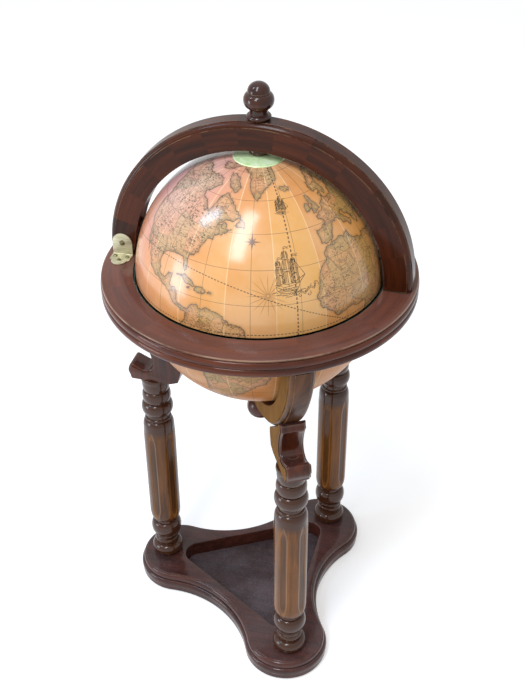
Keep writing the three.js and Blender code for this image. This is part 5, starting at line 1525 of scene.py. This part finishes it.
# Pole fittings
# A spun brass cap on the pole, a turned spacer under the bow and a turned finial over it. One
# steel stud goes through them all and is held by a nut inside the lid.
cap_radius = 40
cap_sheet = 1.3
cap_under = globe_radius + fit_gap
cap_start = math.degrees(math.acos(cap_radius / (cap_under + 0.6)))
cap_finish = math.degrees(math.acos(stud_bore / cap_under))
cap_rim = arc((0, lid_centre), cap_under, cap_finish, cap_start, 30)
cap_face = arc((0, lid_centre), cap_under + cap_sheet, cap_start + 0.3, cap_finish, 30)
pole_cap = lathe("cap_spun", [*cap_rim, *cap_face, cap_rim[0]], steps=120)
spacer_foot = lid_centre + cap_under + cap_sheet + fit_gap
spacer_top = arch_centre + arch_inner - fit_gap
spacer_height = spacer_top - spacer_foot
spacer_crest = 16
spacer_rim = spacer_crest - spacer_height / 4
spacer = Turning(spacer_top).to(spacer_rim).roll(spacer_height, spacer_rim, spacer_crest, 12)
pole_spacer = lathe("spacer_turned", spacer.end())
finial_foot = arch_centre + arch_outer + fit_gap
finial_height = 57.5
finial_radius = 23.2
fh = {part: share * finial_height for part, share in
      dict(dome=0.26, groove=0.026, bulge=0.4, tail=0.1, neck=0.07, foot=0.144).items()}
fr = {part: share * finial_radius for part, share in
      dict(dome=0.73, groove=0.69, waist=0.66, neck=0.59, foot=0.82).items()}
finial = Turning(finial_foot + finial_height).shoulder(fh["dome"], 0, fr["dome"], 20)
finial.to(fr["groove"], 0.3).to(fr["groove"], fh["groove"] - 0.3)
finial.roll(fh["bulge"], fr["waist"], finial_radius, 28).to(fr["neck"], fh["tail"])
finial.to(fr["neck"], fh["neck"]).roll(fh["foot"], fr["neck"], fr["foot"], 14)
finial_turned = lathe("finial_turned", finial.end())
finish_with(bright_metal("cap_brass", "#cfeca8", "#ecfccf", 0.34, (60, 60, 60), "#a8c078", 0.5, 0.3),
            pole_cap)
finish_with(polished("finial_stain", grain_upright, "#260f08", "#48200f", rough=0.24, shine=0.55,
                     clear=0.07), pole_spacer, finial_turned)
for piece, node, slot in ((pole_cap, "pole_cap", "brass"), (pole_spacer, "pole_spacer", "walnut_dark"),
                          (finial_turned, "finial", "walnut_dark")):
    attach(piece, "lid")
    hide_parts(node)
finish_with(zinc, "pole_stud")


# Studio
# A pale floor and a white room. A tall window lamp stands in front and above, a patch of sky
# and a low lamp to the left, and the camera stands where the photographer's did.
bpy.ops.object.select_all(action="DESELECT")
bpy.ops.mesh.primitive_plane_add(size=30, location=(0, 0, 0))
floor = bpy.context.object
floor.name = "studio_floor"
added_light = 0.42


def seen_directly(tree):
    """1 for what the camera, a mirror or a glass looks at, 0 for what only lights the object."""
    ray = place(tree, "ShaderNodeLightPath")
    return most(ray["Is Camera Ray"], ray["Is Glossy Ray"], ray["Is Transmission Ray"])


floor_paint, tree, where = new_finish("floor_paint")
surface(tree, {
    "Base Color": blend(speckle(where, 3), stain("#ececec"), stain("#f0f0f0")), "Roughness": 0.9,
    "Specular IOR Level": 0.0, "Emission Color": (1, 1, 1, 1),
    "Emission Strength": seen_directly(tree) * added_light})
finish_with(floor_paint, floor)

scene = bpy.context.scene
scene.view_settings.view_transform = "Standard"
world = bpy.data.worlds.new("studio_world")
scene.world = world
world.use_nodes = True
tree = world.node_tree
tree.nodes.clear()
lit = place(tree, "ShaderNodeBackground", {
    "Color": (1, 1, 1, 1), "Strength": seen_directly(tree) * added_light + (1 - added_light)})
tree.links.new(lit.socket, tree.nodes.new("ShaderNodeOutputWorld").inputs[0])


def soft_lamp(name, stand, aim, width, height, power, colour):
    bpy.ops.object.light_add(type="AREA", location=stand)
    lamp = bpy.context.object
    lamp.name = name
    lamp.data.shape = "RECTANGLE"
    lamp.data.size = width
    lamp.data.size_y = height
    lamp.data.energy = power
    lamp.data.color = colour
    lamp.rotation_euler = (Vector(aim) - Vector(stand)).to_track_quat("-Z", "Y").to_euler()


globe_middle = (0, 0, 0.7)
legs_middle = (0, 0, 0.4)
soft_lamp("window_lamp", (-0.26, -1.5, 3.0), globe_middle, 0.6, 2.2, 56, (0.86, 0.93, 1))
soft_lamp("sky_lamp", (-1.62, -0.65, 2.89), globe_middle, 0.4, 0.8, 18, (0.5, 0.72, 1))
soft_lamp("side_lamp", (-2.6, -1.6, 0.8), legs_middle, 0.9, 1.3, 30, (0.72, 0.86, 1))

camera_stand = Vector((0.4027, -1.4490, 1.6780))
focal_pixels = 1094.27
picture_height = 700
picture_middle = 341.47
bearing = math.radians(15.4)
rise = math.radians(35.87)
roll = math.radians(-0.32)
back = Vector((math.sin(bearing) * math.cos(rise), -math.cos(bearing) * math.cos(rise), math.sin(rise)))
right = Vector((math.cos(bearing), math.sin(bearing), 0))
up = back.cross(right)
turned_right = math.cos(roll) * right + math.sin(roll) * up
turned_up = -math.sin(roll) * right + math.cos(roll) * up
camera_data = bpy.data.cameras.new("photo_camera")
camera = bpy.data.objects.new("photo_camera", camera_data)
scene.collection.objects.link(camera)
facing = Matrix((turned_right, turned_up, back)).transposed().to_4x4()
camera.matrix_world = Matrix.Translation(camera_stand) @ facing
camera_data.sensor_fit = "VERTICAL"
camera_data.sensor_height = 36
camera_data.lens = 36 * focal_pixels / picture_height
camera_data.shift_y = (picture_middle - picture_height / 2) / picture_height
scene.camera = camera
